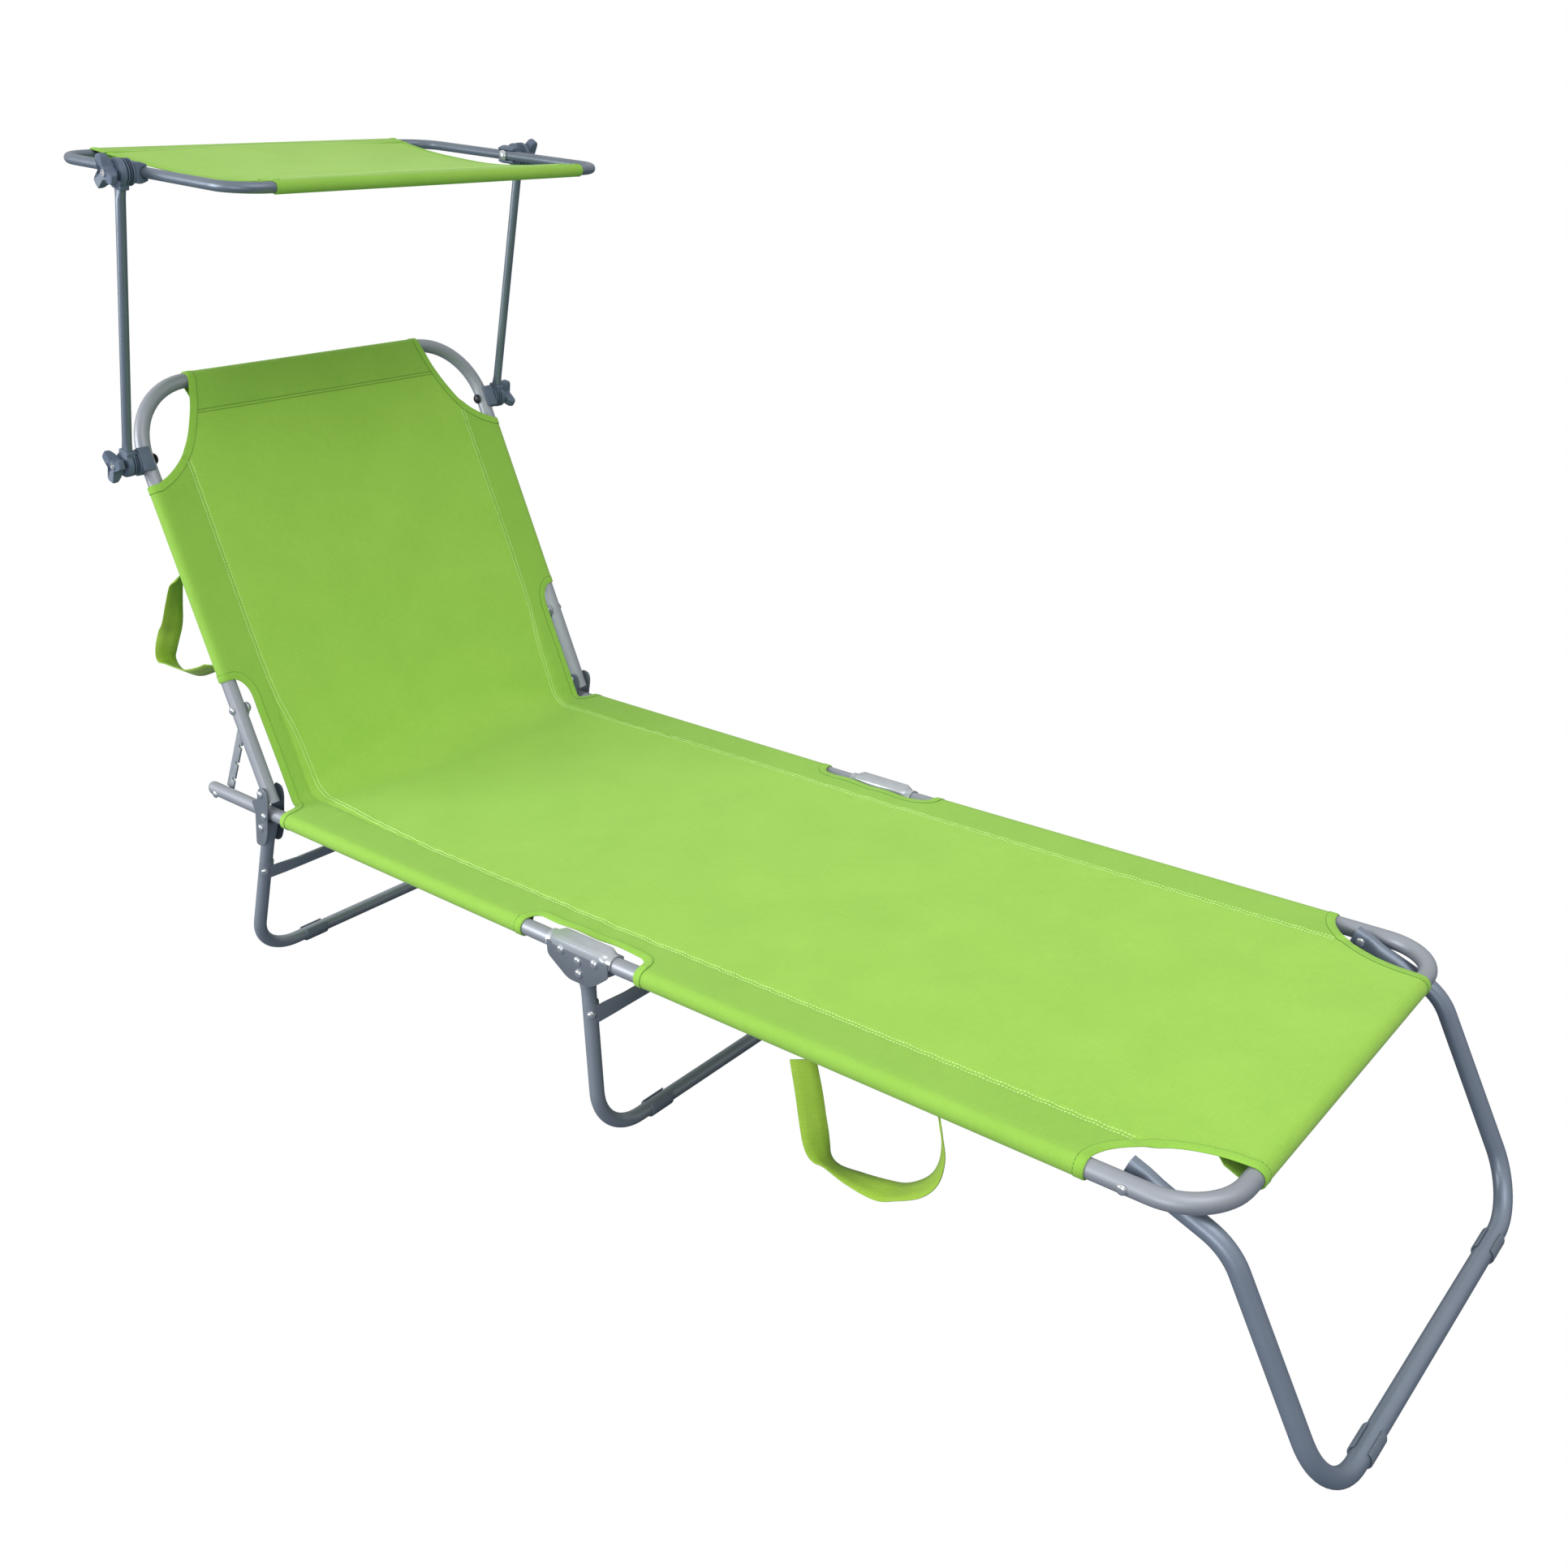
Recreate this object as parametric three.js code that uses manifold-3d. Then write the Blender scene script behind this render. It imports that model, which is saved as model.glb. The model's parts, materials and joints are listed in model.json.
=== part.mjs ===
// Folding sun lounger with a tilting canopy. Millimetres, +Z up, +X towards the foot end.
// While it is built, x = 0 is the backrest pivot. At the end the whole object is moved along X,
// so that its origin is on the floor under the middle of the object.
import * as THREE from 'three';
import * as BufferGeometryUtils from 'three/addons/utils/BufferGeometryUtils.js';
import Module from 'manifold-3d';

const wasm = await Module();
wasm.setup();

// Driving dimensions of the frame
const railRadius = 9.5;
const railHalfWidth = 277;
const railHeight = 254;
const seatRailRear = -147;
const clearance = 0.3;
const plateGap = 2;
const plateThickness = 1.5;
const overrun = 5;

// Backrest: measured along the tube from its pivot
const backPivotX = -5.5;
const backPivotRise = 31;
const backAngle = 67.1;
const backLength = 539;
const backCornerRadius = 90;
const backTubeHeel = 15.5;
const backSleeveStart = 153;
const backTopBare = 130;
const backSleeveEnd = backLength - backTopBare;
const clampDrop = 92;
const clampStation = backLength - clampDrop;
const strutStation = 113;

// Recline strut
const strutLength = 148;
const strutWidth = 12;
const strutThickness = 3;
const strutLean = 27;
const notchStations = [68, 99, 129];
const notchDepth = 5;
const notchWidth = 5;

// Foot section: measured along the rail from its pivot
const footPivotX = 606;
const footPivotGap = 40;
const seatRailFront = footPivotX - footPivotGap;
const footTilt = 0.73;
const footLength = 708.5;
const footCornerRadius = 60;
const footTubeStart = 5;
const footSleeveStart = 55;
const footEndBare = 116;
const footSleeveEnd = footLength - footEndBare;
const footEndInset = 76;
const footTopHalfWidth = railHalfWidth - footEndInset;

// Legs
const floorGap = 11.8;
const legRadius = 8.5;
const legCornerRadius = 50;
const legTabHalfWidth = 8;
const legTabHalfDepth = 10.5;
const legTubeStart = 18;
const headPivotX = -15;
const headPivotDrop = 19.4;
const headPivotZ = railHeight - headPivotDrop;
const headSplay = 78.4;
const headFootX = headPivotX - headSplay;
const headBraceDrop = 69.6;
const headBraceZ = headPivotZ - headBraceDrop;
const midPivotOffset = 25.4;
const midPivotX = footPivotX - midPivotOffset;
const midPivotDrop = 20.6;
const midPivotZ = railHeight - midPivotDrop;
const midSplay = 5.2;
const midFootX = midPivotX + midSplay;
const midBraceDrop = 52.4;
const midBraceZ = midPivotZ - midBraceDrop;
const braceHeight = 18;
const braceThickness = 5;
const footLegInset = 81;
const footLegPivotX = footPivotX + footLength - footLegInset;
const footLegEnd = 10;
const footLegReach = 88;
const footLegCornerX = footLegPivotX + footLegReach;
const footLegCornerDrop = 26;
const footLegCornerZ = railHeight - footLegCornerDrop;
const footLegSplay = 109;
const footLegFloorX = footLegCornerX + footLegSplay;
const footLegElbowRadius = 60;
const glideLength = 34;
const glideThickness = 3.1;
const glideInset = 94;
const glideStation = railHalfWidth - glideInset;
const footGlideInset = 109;
const footGlideStation = railHalfWidth - footGlideInset;
const glideMouth = 14;

// Canopy and its arms
const canopyTubeRadius = 6.3;
const canopyOverhang = 3;
const canopyHalfWidth = railHalfWidth + canopyOverhang;
const canopyFront = 194;
const canopyRear = 187;
const canopyCornerRadius = 45;
const canopySlope = 4.3;
const canopyClothInset = 50;
const canopyClothHalfWidth = canopyHalfWidth - canopyClothInset;
const canopyWaist = 16;
const canopyJointGap = 0.6;
const armLength = 359;
const armLean = 14.4;
const armRadius = 5.9;

// Clamps
const hubGap = 9.5;
const hubRadius = 16;
const hubDepth = 15;
const saddleLength = 40;
const saddleHeight = 28;
const knobRadius = 20;
const knobWaist = 9;
const knobDepth = 15;
const knobSteps = 24;
const boltRadius = 3;
const boltHeadRadius = 7;
const boltHeadDepth = 4;
const boltSeatGap = 0.6;
const boltEndInset = 4;
const armSeatGap = 2;

// Rivets
const rivetRadius = 3;
const rivetHeadRadius = 5.5;
const rivetHeadDepth = 3;

// Cloth and straps
const clothThickness = 1.5;
const hingeCutDepth = 23;
const hingeCutHalfWidth = railHalfWidth - hingeCutDepth;
const hingeCutRound = 25;
const seatSleeveStart = 28;
const seatEndBare = 120;
const seatSleeveEnd = footPivotX - seatEndBare;
const midCutDepth = 19;
const midCutHalfWidth = railHalfWidth - midCutDepth;
const panelGap = 1.5;
const strapWidth = 28;
const strapThickness = 2;
const strapInset = 5;

// Facets
const tubeSides = 12;
const pinSides = 10;
const bendSteps = 5;

const quarterTurn = Math.PI / 2;
// A faceted ring clears what is inside it when its corners lie this much further out
const cornerShare = 1 / Math.cos(Math.PI / tubeSides);
const radians = (degrees) => THREE.MathUtils.degToRad(degrees);
const v3 = (x, y, z) => new THREE.Vector3(x, y, z);

// Turns a geometry into a solid and back, for cuts and joins
function toSolid(geometry) {
  const bare = geometry.clone();
  bare.deleteAttribute('normal');
  bare.deleteAttribute('uv');
  const merged = BufferGeometryUtils.mergeVertices(bare);
  return new wasm.Manifold(new wasm.Mesh({
    numProp: 3,
    vertProperties: Float32Array.from(merged.attributes.position.array),
    triVerts: Uint32Array.from(merged.index.array),
  }));
}

function toGeometry(solid) {
  const mesh = solid.getMesh();
  const geometry = new THREE.BufferGeometry();
  geometry.setAttribute('position', new THREE.BufferAttribute(mesh.vertProperties, 3));
  geometry.setIndex(new THREE.BufferAttribute(mesh.triVerts, 1));
  return geometry;
}

function cut(geometry, ...tools) {
  return toGeometry(tools.reduce((solid, tool) => solid.subtract(toSolid(tool)), toSolid(geometry)));
}

function join(geometry, ...others) {
  return toGeometry(others.reduce((solid, other) => solid.add(toSolid(other)), toSolid(geometry)));
}

// A centre line of straight runs with round bends, which keeps its stations where the shape needs them
class BentLine extends THREE.Curve {
  constructor(corners, radii) {
    super();
    this.stations = [];
    const last = corners.length - 1;
    this.addStation(corners[0], v3(0, 0, 0).subVectors(corners[1], corners[0]).normalize());
    for (let i = 1; i < last; i += 1) {
      this.addBend(corners[i - 1], corners[i], corners[i + 1], radii[i - 1]);
    }
    this.addStation(corners[last], v3(0, 0, 0).subVectors(corners[last], corners[last - 1]).normalize());
  }

  addStation(point, tangent) {
    this.stations.push({ point: point.clone(), tangent: tangent.clone() });
  }

  addBend(before, corner, after, radius) {
    const arrive = v3(0, 0, 0).subVectors(corner, before).normalize();
    const leave = v3(0, 0, 0).subVectors(after, corner).normalize();
    const turn = arrive.angleTo(leave);
    const inward = v3(0, 0, 0).copy(leave).addScaledVector(arrive, -leave.dot(arrive)).normalize();
    const start = corner.clone().addScaledVector(arrive, -radius * Math.tan(turn / 2));
    const centre = start.clone().addScaledVector(inward, radius);
    for (let i = 0; i <= bendSteps; i += 1) {
      const angle = (turn * i) / bendSteps;
      const point = centre.clone().addScaledVector(inward, -radius * Math.cos(angle));
      point.addScaledVector(arrive, radius * Math.sin(angle));
      const tangent = arrive.clone().multiplyScalar(Math.cos(angle)).addScaledVector(inward, Math.sin(angle));
      this.addStation(point, tangent);
    }
  }

  get steps() {
    return this.stations.length - 1;
  }

  at(u) {
    return this.stations[Math.round(u * this.steps)];
  }

  getPoint(u) {
    return this.at(u).point.clone();
  }

  getPointAt(u) {
    return this.at(u).point.clone();
  }

  getTangentAt(u) {
    return this.at(u).tangent.clone();
  }

  getSpacedPoints() {
    return this.stations.map((station) => station.point.clone());
  }
}

function circleShape(radius, sides) {
  const points = [];
  for (let i = 0; i < sides; i += 1) {
    const angle = (2 * Math.PI * (i + 1 / 2)) / sides;
    points.push(new THREE.Vector2(radius * Math.cos(angle), radius * Math.sin(angle)));
  }
  return new THREE.Shape(points);
}

function tube(corners, radii, radius, sides = tubeSides) {
  const line = new BentLine(corners, radii);
  return new THREE.ExtrudeGeometry(circleShape(radius, sides), { extrudePath: line, steps: line.steps });
}

// A plate: an outline in the side view (x, z), extruded along Y from yLow to yHigh
function plate(outline, yLow, yHigh) {
  const points = Array.isArray(outline) ? outline.map(([x, z]) => new THREE.Vector2(x, z)) : null;
  const shape = points ? new THREE.Shape(points) : outline;
  const geometry = new THREE.ExtrudeGeometry(shape, { depth: yHigh - yLow, bevelEnabled: false, curveSegments: 6 });
  geometry.rotateX(quarterTurn);
  geometry.translate(0, yHigh, 0);
  return geometry;
}

// A sheet: an outline in the plan view (x, y), extruded up from zLow
function sheet(outline, zLow, thickness) {
  const shape = new THREE.Shape(outline.map(([x, y]) => new THREE.Vector2(x, y)));
  const geometry = new THREE.ExtrudeGeometry(shape, { depth: thickness, bevelEnabled: false });
  geometry.translate(0, 0, zLow);
  return geometry;
}

// A round rod along Y
function rodY(x, z, radius, yLow, yHigh, sides = pinSides) {
  const geometry = new THREE.CylinderGeometry(radius, radius, yHigh - yLow, sides);
  geometry.translate(x, (yLow + yHigh) / 2, z);
  return geometry;
}

function brick(xLow, xHigh, yLow, yHigh, zLow, zHigh) {
  const geometry = new THREE.BoxGeometry(xHigh - xLow, yHigh - yLow, zHigh - zLow);
  geometry.translate((xLow + xHigh) / 2, (yLow + yHigh) / 2, (zLow + zHigh) / 2);
  return geometry;
}

// A rivet along Y with a domed head at each end, its grip running from yLow to yHigh
function rivet(x, z, yLow, yHigh, radius = rivetRadius, headRadius = rivetHeadRadius, headDepth = rivetHeadDepth) {
  const lowSeat = yLow - clearance;
  const highSeat = yHigh + clearance;
  const shoulderShare = 0.75;
  const domeShare = 0.6;
  const profile = [
    [0, lowSeat - headDepth],
    [headRadius * shoulderShare, lowSeat - headDepth * domeShare],
    [headRadius, lowSeat],
    [radius, lowSeat],
    [radius, highSeat],
    [headRadius, highSeat],
    [headRadius * shoulderShare, highSeat + headDepth * domeShare],
    [0, highSeat + headDepth],
  ];
  const geometry = new THREE.LatheGeometry(profile.map(([r, y]) => new THREE.Vector2(r, y)), pinSides);
  geometry.translate(x, 0, z);
  return geometry;
}

// The hole that a rivet or bolt passes through
function bore(x, z, y, radius = rivetRadius) {
  return rodY(x, z, radius + clearance, y - hubDepth * 3, y + hubDepth * 3);
}

const finishes = {
  rail: { color: 0xb9bdc3, roughness: 0.35, metalness: 0.8 },
  leg: { color: 0x8d949c, roughness: 0.4, metalness: 0.7 },
  zinc: { color: 0x8a9199, roughness: 0.4, metalness: 0.9 },
  rivet: { color: 0xdfe3e6, roughness: 0.25, metalness: 1 },
  arm: { color: 0x66737f, roughness: 0.45, metalness: 0.6 },
  plastic: { color: 0x5f6e85, roughness: 0.5, metalness: 0 },
  glide: { color: 0x707a88, roughness: 0.5, metalness: 0 },
  bolt: { color: 0x2a2d31, roughness: 0.4, metalness: 0.8 },
  cloth: { color: 0xa0dc5c, roughness: 0.9, metalness: 0 },
  strap: { color: 0x86b83e, roughness: 0.9, metalness: 0 },
};

const lounger = new THREE.Group();
const sides = [['right', -1], ['left', 1]];

function add(group, name, geometry, finish) {
  const mesh = new THREE.Mesh(geometry, new THREE.MeshStandardMaterial(finishes[finish]));
  mesh.name = name;
  group.add(mesh);
}

// Groups that are built flat and then turned about their pivots
const backrest = new THREE.Group();
backrest.position.set(backPivotX, 0, railHeight + backPivotRise);
backrest.rotation.y = radians(backAngle);
const footSection = new THREE.Group();
footSection.position.set(footPivotX, 0, railHeight);
footSection.rotation.y = radians(-footTilt);
lounger.add(backrest, footSection);

const plateInner = railRadius + plateGap;
const plateOuter = plateInner + plateThickness;
const sleeveInner = railRadius + clearance;
const sleeveOuter = sleeveInner + clothThickness;

// A sleeve of cloth round a tube that runs along X
function sleeveAlongX(xLow, xHigh, y, innerRadius) {
  const near = innerRadius * cornerShare;
  const far = (innerRadius + clothThickness) * cornerShare;
  const outer = new THREE.CylinderGeometry(far, far, xHigh - xLow, tubeSides);
  const inner = new THREE.CylinderGeometry(near, near, xHigh - xLow + overrun, tubeSides);
  const ring = cut(outer, inner);
  ring.rotateZ(quarterTurn);
  ring.rotateX(quarterTurn / 3);
  ring.translate((xLow + xHigh) / 2, y, 0);
  return ring;
}

function sleeveAlongY(halfWidth, x, innerRadius) {
  const near = innerRadius * cornerShare;
  const far = (innerRadius + clothThickness) * cornerShare;
  const outer = rodY(x, 0, far, -halfWidth, halfWidth, tubeSides);
  const inner = rodY(x, 0, near, -halfWidth - overrun, halfWidth + overrun, tubeSides);
  return cut(outer, inner);
}

// Mirrors the right-hand half of an outline, given from one end to the other
function bothSides(halfOutline) {
  const right = halfOutline.map(([x, y]) => [x, -y]);
  return right.concat(halfOutline.slice().reverse());
}

// Seat frame: two rails, four hinge plates and two mid brackets
function seatRail(side) {
  const y = side * railHalfWidth;
  const body = tube([v3(seatRailRear, y, railHeight), v3(seatRailFront, y, railHeight)], [], railRadius);
  return cut(body, bore(hingeRivetX, railHeight, y), bore(bracketRivetX, railHeight, y));
}

const hingeRivetX = -4;
const bracketRivetInset = 52;
const bracketRivetX = footPivotX - bracketRivetInset;
const hingePlateHeight = 85;
// The plate's corners as shares of its height: place along the rail, and rise over the rail's centre
const hingePlateShares = [
  [-0.2235, -0.5176], [-0.1059, -0.4824], [-0.0235, -0.3059], [0.1059, 0.3412], [0.0824, 0.4353],
  [0, 0.4824], [-0.0824, 0.4588], [-0.1412, 0.3765], [-0.1647, 0.2471], [-0.3059, 0.2235],
  [-0.3235, 0.1529], [-0.2647, 0.0353], [-0.3647, -0.4765], [-0.3059, -0.5176],
];
const hingePlateOutline = hingePlateShares.map(
  ([x, rise]) => [x * hingePlateHeight, railHeight + rise * hingePlateHeight],
);

function hingePlate(y, direction) {
  const near = y + direction * plateInner;
  const far = y + direction * plateOuter;
  const body = plate(hingePlateOutline, Math.min(near, far), Math.max(near, far));
  return cut(body, bore(backPivotX, railHeight + backPivotRise, y), bore(hingeRivetX, railHeight, y),
    bore(headPivotX, headPivotZ, y));
}

const bracketRise = 14.5;
const bracketLength = 94;
const bracketDepth = 46.5;
const bracketFront = 20;
const bracketChamfer = 6;
const bracketEnd = footPivotX + bracketFront;
const bracketRear = bracketEnd - bracketLength;
const bracketTop = railHeight + bracketRise;
const bracketRoof = bracketTop - plateThickness;
// The lower corners, as shares of the bracket's length from its rear end and of its depth from its top
const bracketShares = [
  [0, 0.5699], [0.3298, 1], [0.6809, 0.9892], [0.8085, 0.8495], [1, 0.5484],
];
const bracketOutline = [
  ...bracketShares.map(([x, drop]) => [bracketRear + x * bracketLength, bracketTop - drop * bracketDepth]),
  [bracketEnd, bracketRoof], [bracketEnd - bracketChamfer, bracketTop],
  [bracketRear + bracketChamfer, bracketTop], [bracketRear, bracketRoof],
];

function midBracket(side) {
  const y = side * railHalfWidth;
  const body = plate(bracketOutline, y - plateOuter, y + plateOuter);
  const room = brick(bracketRear - overrun, bracketEnd + overrun, y - plateInner, y + plateInner, 0, bracketRoof);
  return cut(body, room, bore(bracketRivetX, railHeight, y), bore(footPivotX, railHeight, y),
    bore(midPivotX, midPivotZ, y));
}

function seatCloth() {
  const outline = bothSides([
    [panelGap + sleeveOuter, hingeCutHalfWidth], [seatSleeveStart, hingeCutHalfWidth],
    [seatSleeveStart, railHalfWidth], [seatSleeveEnd, railHalfWidth], [seatSleeveEnd, midCutHalfWidth],
    [footPivotX - panelGap, midCutHalfWidth],
  ]);
  const panel = sheet(outline, sleeveInner, clothThickness);
  const sleeves = sides.map(
    ([, side]) => sleeveAlongX(seatSleeveStart, seatSleeveEnd, side * railHalfWidth, sleeveInner),
  );
  const cloth = join(panel, ...sleeves);
  cloth.translate(0, 0, railHeight);
  return cloth;
}

for (const [word, side] of sides) {
  const y = side * railHalfWidth;
  add(lounger, `seat_rail_${word}`, seatRail(side), 'rail');
  add(lounger, `hinge_plate_outer_${word}`, hingePlate(y, side), 'zinc');
  add(lounger, `hinge_plate_inner_${word}`, hingePlate(y, -side), 'zinc');
  add(lounger, `hinge_rail_rivet_${word}`, rivet(hingeRivetX, railHeight, y - plateOuter, y + plateOuter), 'rivet');
  add(lounger, `mid_bracket_${word}`, midBracket(side), 'zinc');
  const bracketRivet = rivet(bracketRivetX, railHeight, y - plateOuter, y + plateOuter);
  add(lounger, `bracket_rail_rivet_${word}`, bracketRivet, 'rivet');
}
add(lounger, 'seat_cloth', seatCloth(), 'cloth');

// Backrest: built lying flat along -X from its pivot, front side up
function backrestTube() {
  const corners = [
    v3(backTubeHeel, -railHalfWidth, 0), v3(-backLength, -railHalfWidth, 0),
    v3(-backLength, railHalfWidth, 0), v3(backTubeHeel, railHalfWidth, 0),
  ];
  return corners;
}

function backrestFrame() {
  const corners = backrestTube();
  const body = tube(corners, [backCornerRadius, backCornerRadius], railRadius);
  const holes = sides.flatMap(([, side]) => {
    const y = side * railHalfWidth;
    return [bore(0, 0, y), bore(-strutStation, 0, y), bore(-clampStation, 0, y, boltRadius)];
  });
  return cut(body, ...holes);
}

// The top corner's cut-out: shares of the bare length down from the top tube,
// and of the bend's radius in from the side tube
const topCutShares = [[0.9385, 0.0778], [0.8615, 0.3556], [0.5846, 0.6889], [0.3538, 0.8778], [0.2, 1]];

function backrestCloth() {
  const topHalfWidth = railHalfWidth - backCornerRadius;
  const topCut = topCutShares.map(
    ([drop, inset]) => [drop * backTopBare - backLength, railHalfWidth - inset * backCornerRadius],
  );
  const outline = bothSides([
    [-sleeveOuter - panelGap, hingeCutHalfWidth], [-backSleeveStart + hingeCutRound, hingeCutHalfWidth],
    [-backSleeveStart, hingeCutHalfWidth + hingeCutRound / 3], [-backSleeveStart, railHalfWidth],
    [-backSleeveEnd, railHalfWidth], ...topCut, [-backLength, topHalfWidth],
  ]);
  const panel = sheet(outline, sleeveInner, clothThickness);
  const pieces = sides.map(
    ([, side]) => sleeveAlongX(-backSleeveEnd, -backSleeveStart, side * railHalfWidth, sleeveInner),
  );
  return join(panel, sleeveAlongY(topHalfWidth, -backLength, sleeveInner), ...pieces);
}

add(backrest, 'backrest_frame', backrestFrame(), 'rail');
add(backrest, 'backrest_cloth', backrestCloth(), 'cloth');

// Flat strut with notches, hanging from the rivet that it turns with on the inner side of the tube
function reclineStrut(side) {
  const half = strutWidth / 2;
  const shape = new THREE.Shape();
  shape.moveTo(-half, 0);
  shape.lineTo(-half, -strutLength);
  shape.lineTo(half, -strutLength);
  for (const station of notchStations.slice().reverse()) {
    shape.lineTo(half, -station - notchWidth / 2);
    shape.lineTo(half - notchDepth, -station - notchWidth / 2);
    shape.lineTo(half - notchDepth, -station + notchWidth / 2);
    shape.lineTo(half, -station + notchWidth / 2);
  }
  shape.lineTo(half, 0);
  shape.absarc(0, 0, half, 0, Math.PI, false);
  const inner = -side * strutThickness / 2;
  const outer = side * (strutThickness / 2 + clearance + 2 * railRadius);
  const pin = rivet(0, 0, Math.min(inner, outer), Math.max(inner, outer));
  return join(plate(shape, -strutThickness / 2, strutThickness / 2), pin);
}

for (const [word, side] of sides) {
  const y = side * railHalfWidth;
  const strutY = y - side * (railRadius + clearance + strutThickness / 2);
  const strut = new THREE.Group();
  strut.position.set(-strutStation, strutY, 0);
  strut.rotation.y = radians(strutLean - backAngle);
  backrest.add(strut);
  add(strut, `recline_strut_${word}`, reclineStrut(side), 'zinc');
  add(backrest, `backrest_pivot_rivet_${word}`, rivet(0, 0, y - plateOuter, y + plateOuter), 'rivet');
}

// Foot section: built level along +X from its pivot
function footTube() {
  const corners = [
    v3(-footTubeStart, -railHalfWidth, 0), v3(footLength, -railHalfWidth, 0),
    v3(footLength, railHalfWidth, 0), v3(-footTubeStart, railHalfWidth, 0),
  ];
  const holes = sides.flatMap(([, side]) => {
    const y = side * railHalfWidth;
    return [bore(0, 0, y), bore(footLegPivotX - footPivotX, 0, y)];
  });
  return cut(tube(corners, [footCornerRadius, footCornerRadius], railRadius), ...holes);
}

// The foot corner's cut-out: shares of the bare length back from the end tube,
// and of the inset from the side tube
const footCutShares = [[0.9914, 0.1711], [0.8017, 0.5526], [0.6293, 0.7368], [0.4397, 0.8816], [0.2155, 0.9737]];

function footCloth() {
  const footCut = footCutShares.map(
    ([back, inset]) => [footLength - back * footEndBare, railHalfWidth - inset * footEndInset],
  );
  const outline = bothSides([
    [panelGap, midCutHalfWidth], [footSleeveStart, midCutHalfWidth], [footSleeveStart, railHalfWidth],
    [footSleeveEnd, railHalfWidth], ...footCut, [footLength, footTopHalfWidth],
  ]);
  const panel = sheet(outline, sleeveInner, clothThickness);
  const pieces = sides.map(
    ([, side]) => sleeveAlongX(footSleeveStart, footSleeveEnd, side * railHalfWidth, sleeveInner),
  );
  return join(panel, sleeveAlongY(footTopHalfWidth, footLength, sleeveInner), ...pieces);
}

add(footSection, 'foot_frame', footTube(), 'rail');
add(footSection, 'foot_cloth', footCloth(), 'cloth');
for (const [word, side] of sides) {
  const y = side * railHalfWidth;
  add(footSection, `foot_pivot_rivet_${word}`, rivet(0, 0, y - plateOuter, y + plateOuter), 'rivet');
}

// Carry straps: flat webbing bent into a loop, drawn in the side view
function strapLoop(points, y) {
  const line = new THREE.CatmullRomCurve3(points.map(([x, z]) => v3(x, 0, z)));
  const count = points.length * 3;
  const half = strapThickness / 2;
  const upper = [];
  const lower = [];
  for (let i = 0; i <= count; i += 1) {
    const point = line.getPoint(i / count);
    const along = line.getTangent(i / count);
    upper.push([point.x - along.z * half, point.z + along.x * half]);
    lower.push([point.x + along.z * half, point.z - along.x * half]);
  }
  return plate(upper.concat(lower.reverse()), y - strapWidth / 2, y + strapWidth / 2);
}

const strapY = -railHalfWidth - strapInset;
const strapSeat = sleeveOuter * cornerShare + clearance;
const footStrapStart = 256;
const footStrapEnd = 425;
const footStrapDrop = 148;
const backStrapStart = 281;
const backStrapEnd = 168;
const backStrapDrop = 123;
// Each loop hangs from two places on its tube. Shares of the way between them, and of the loop's drop
const footStrapShares = [
  [0.0592, 0.4527], [0.1302, 0.7905], [0.2604, 0.9392], [0.4615, 0.9865], [0.6746, 1], [0.8639, 0.8851],
  [0.9941, 0.6689], [1.0533, 0.4324], [1.0296, 0.2635],
];
const backStrapShares = [
  [0.0531, 0.3252], [0.177, 0.5447], [0.4248, 0.813], [0.6018, 0.9756], [0.7345, 1], [0.8584, 0.8537],
  [0.9292, 0.6667], [0.9735, 0.374],
];

function strapLine(start, end, drop, shares) {
  const points = shares.map(([x, z]) => [start + x * (end - start), z * drop]);
  return [[start, strapSeat], ...points, [end, strapSeat]];
}

const footStrapPoints = strapLine(footStrapStart, footStrapEnd, footStrapDrop, footStrapShares);
const backStrapPoints = strapLine(backStrapStart, backStrapEnd, backStrapDrop, backStrapShares);
add(footSection, 'foot_strap', strapLoop(footStrapPoints.map(([x, drop]) => [x, -drop]), strapY), 'strap');
add(backrest, 'backrest_strap', strapLoop(backStrapPoints.map(([x, drop]) => [-x, -drop]), strapY), 'strap');

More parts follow.
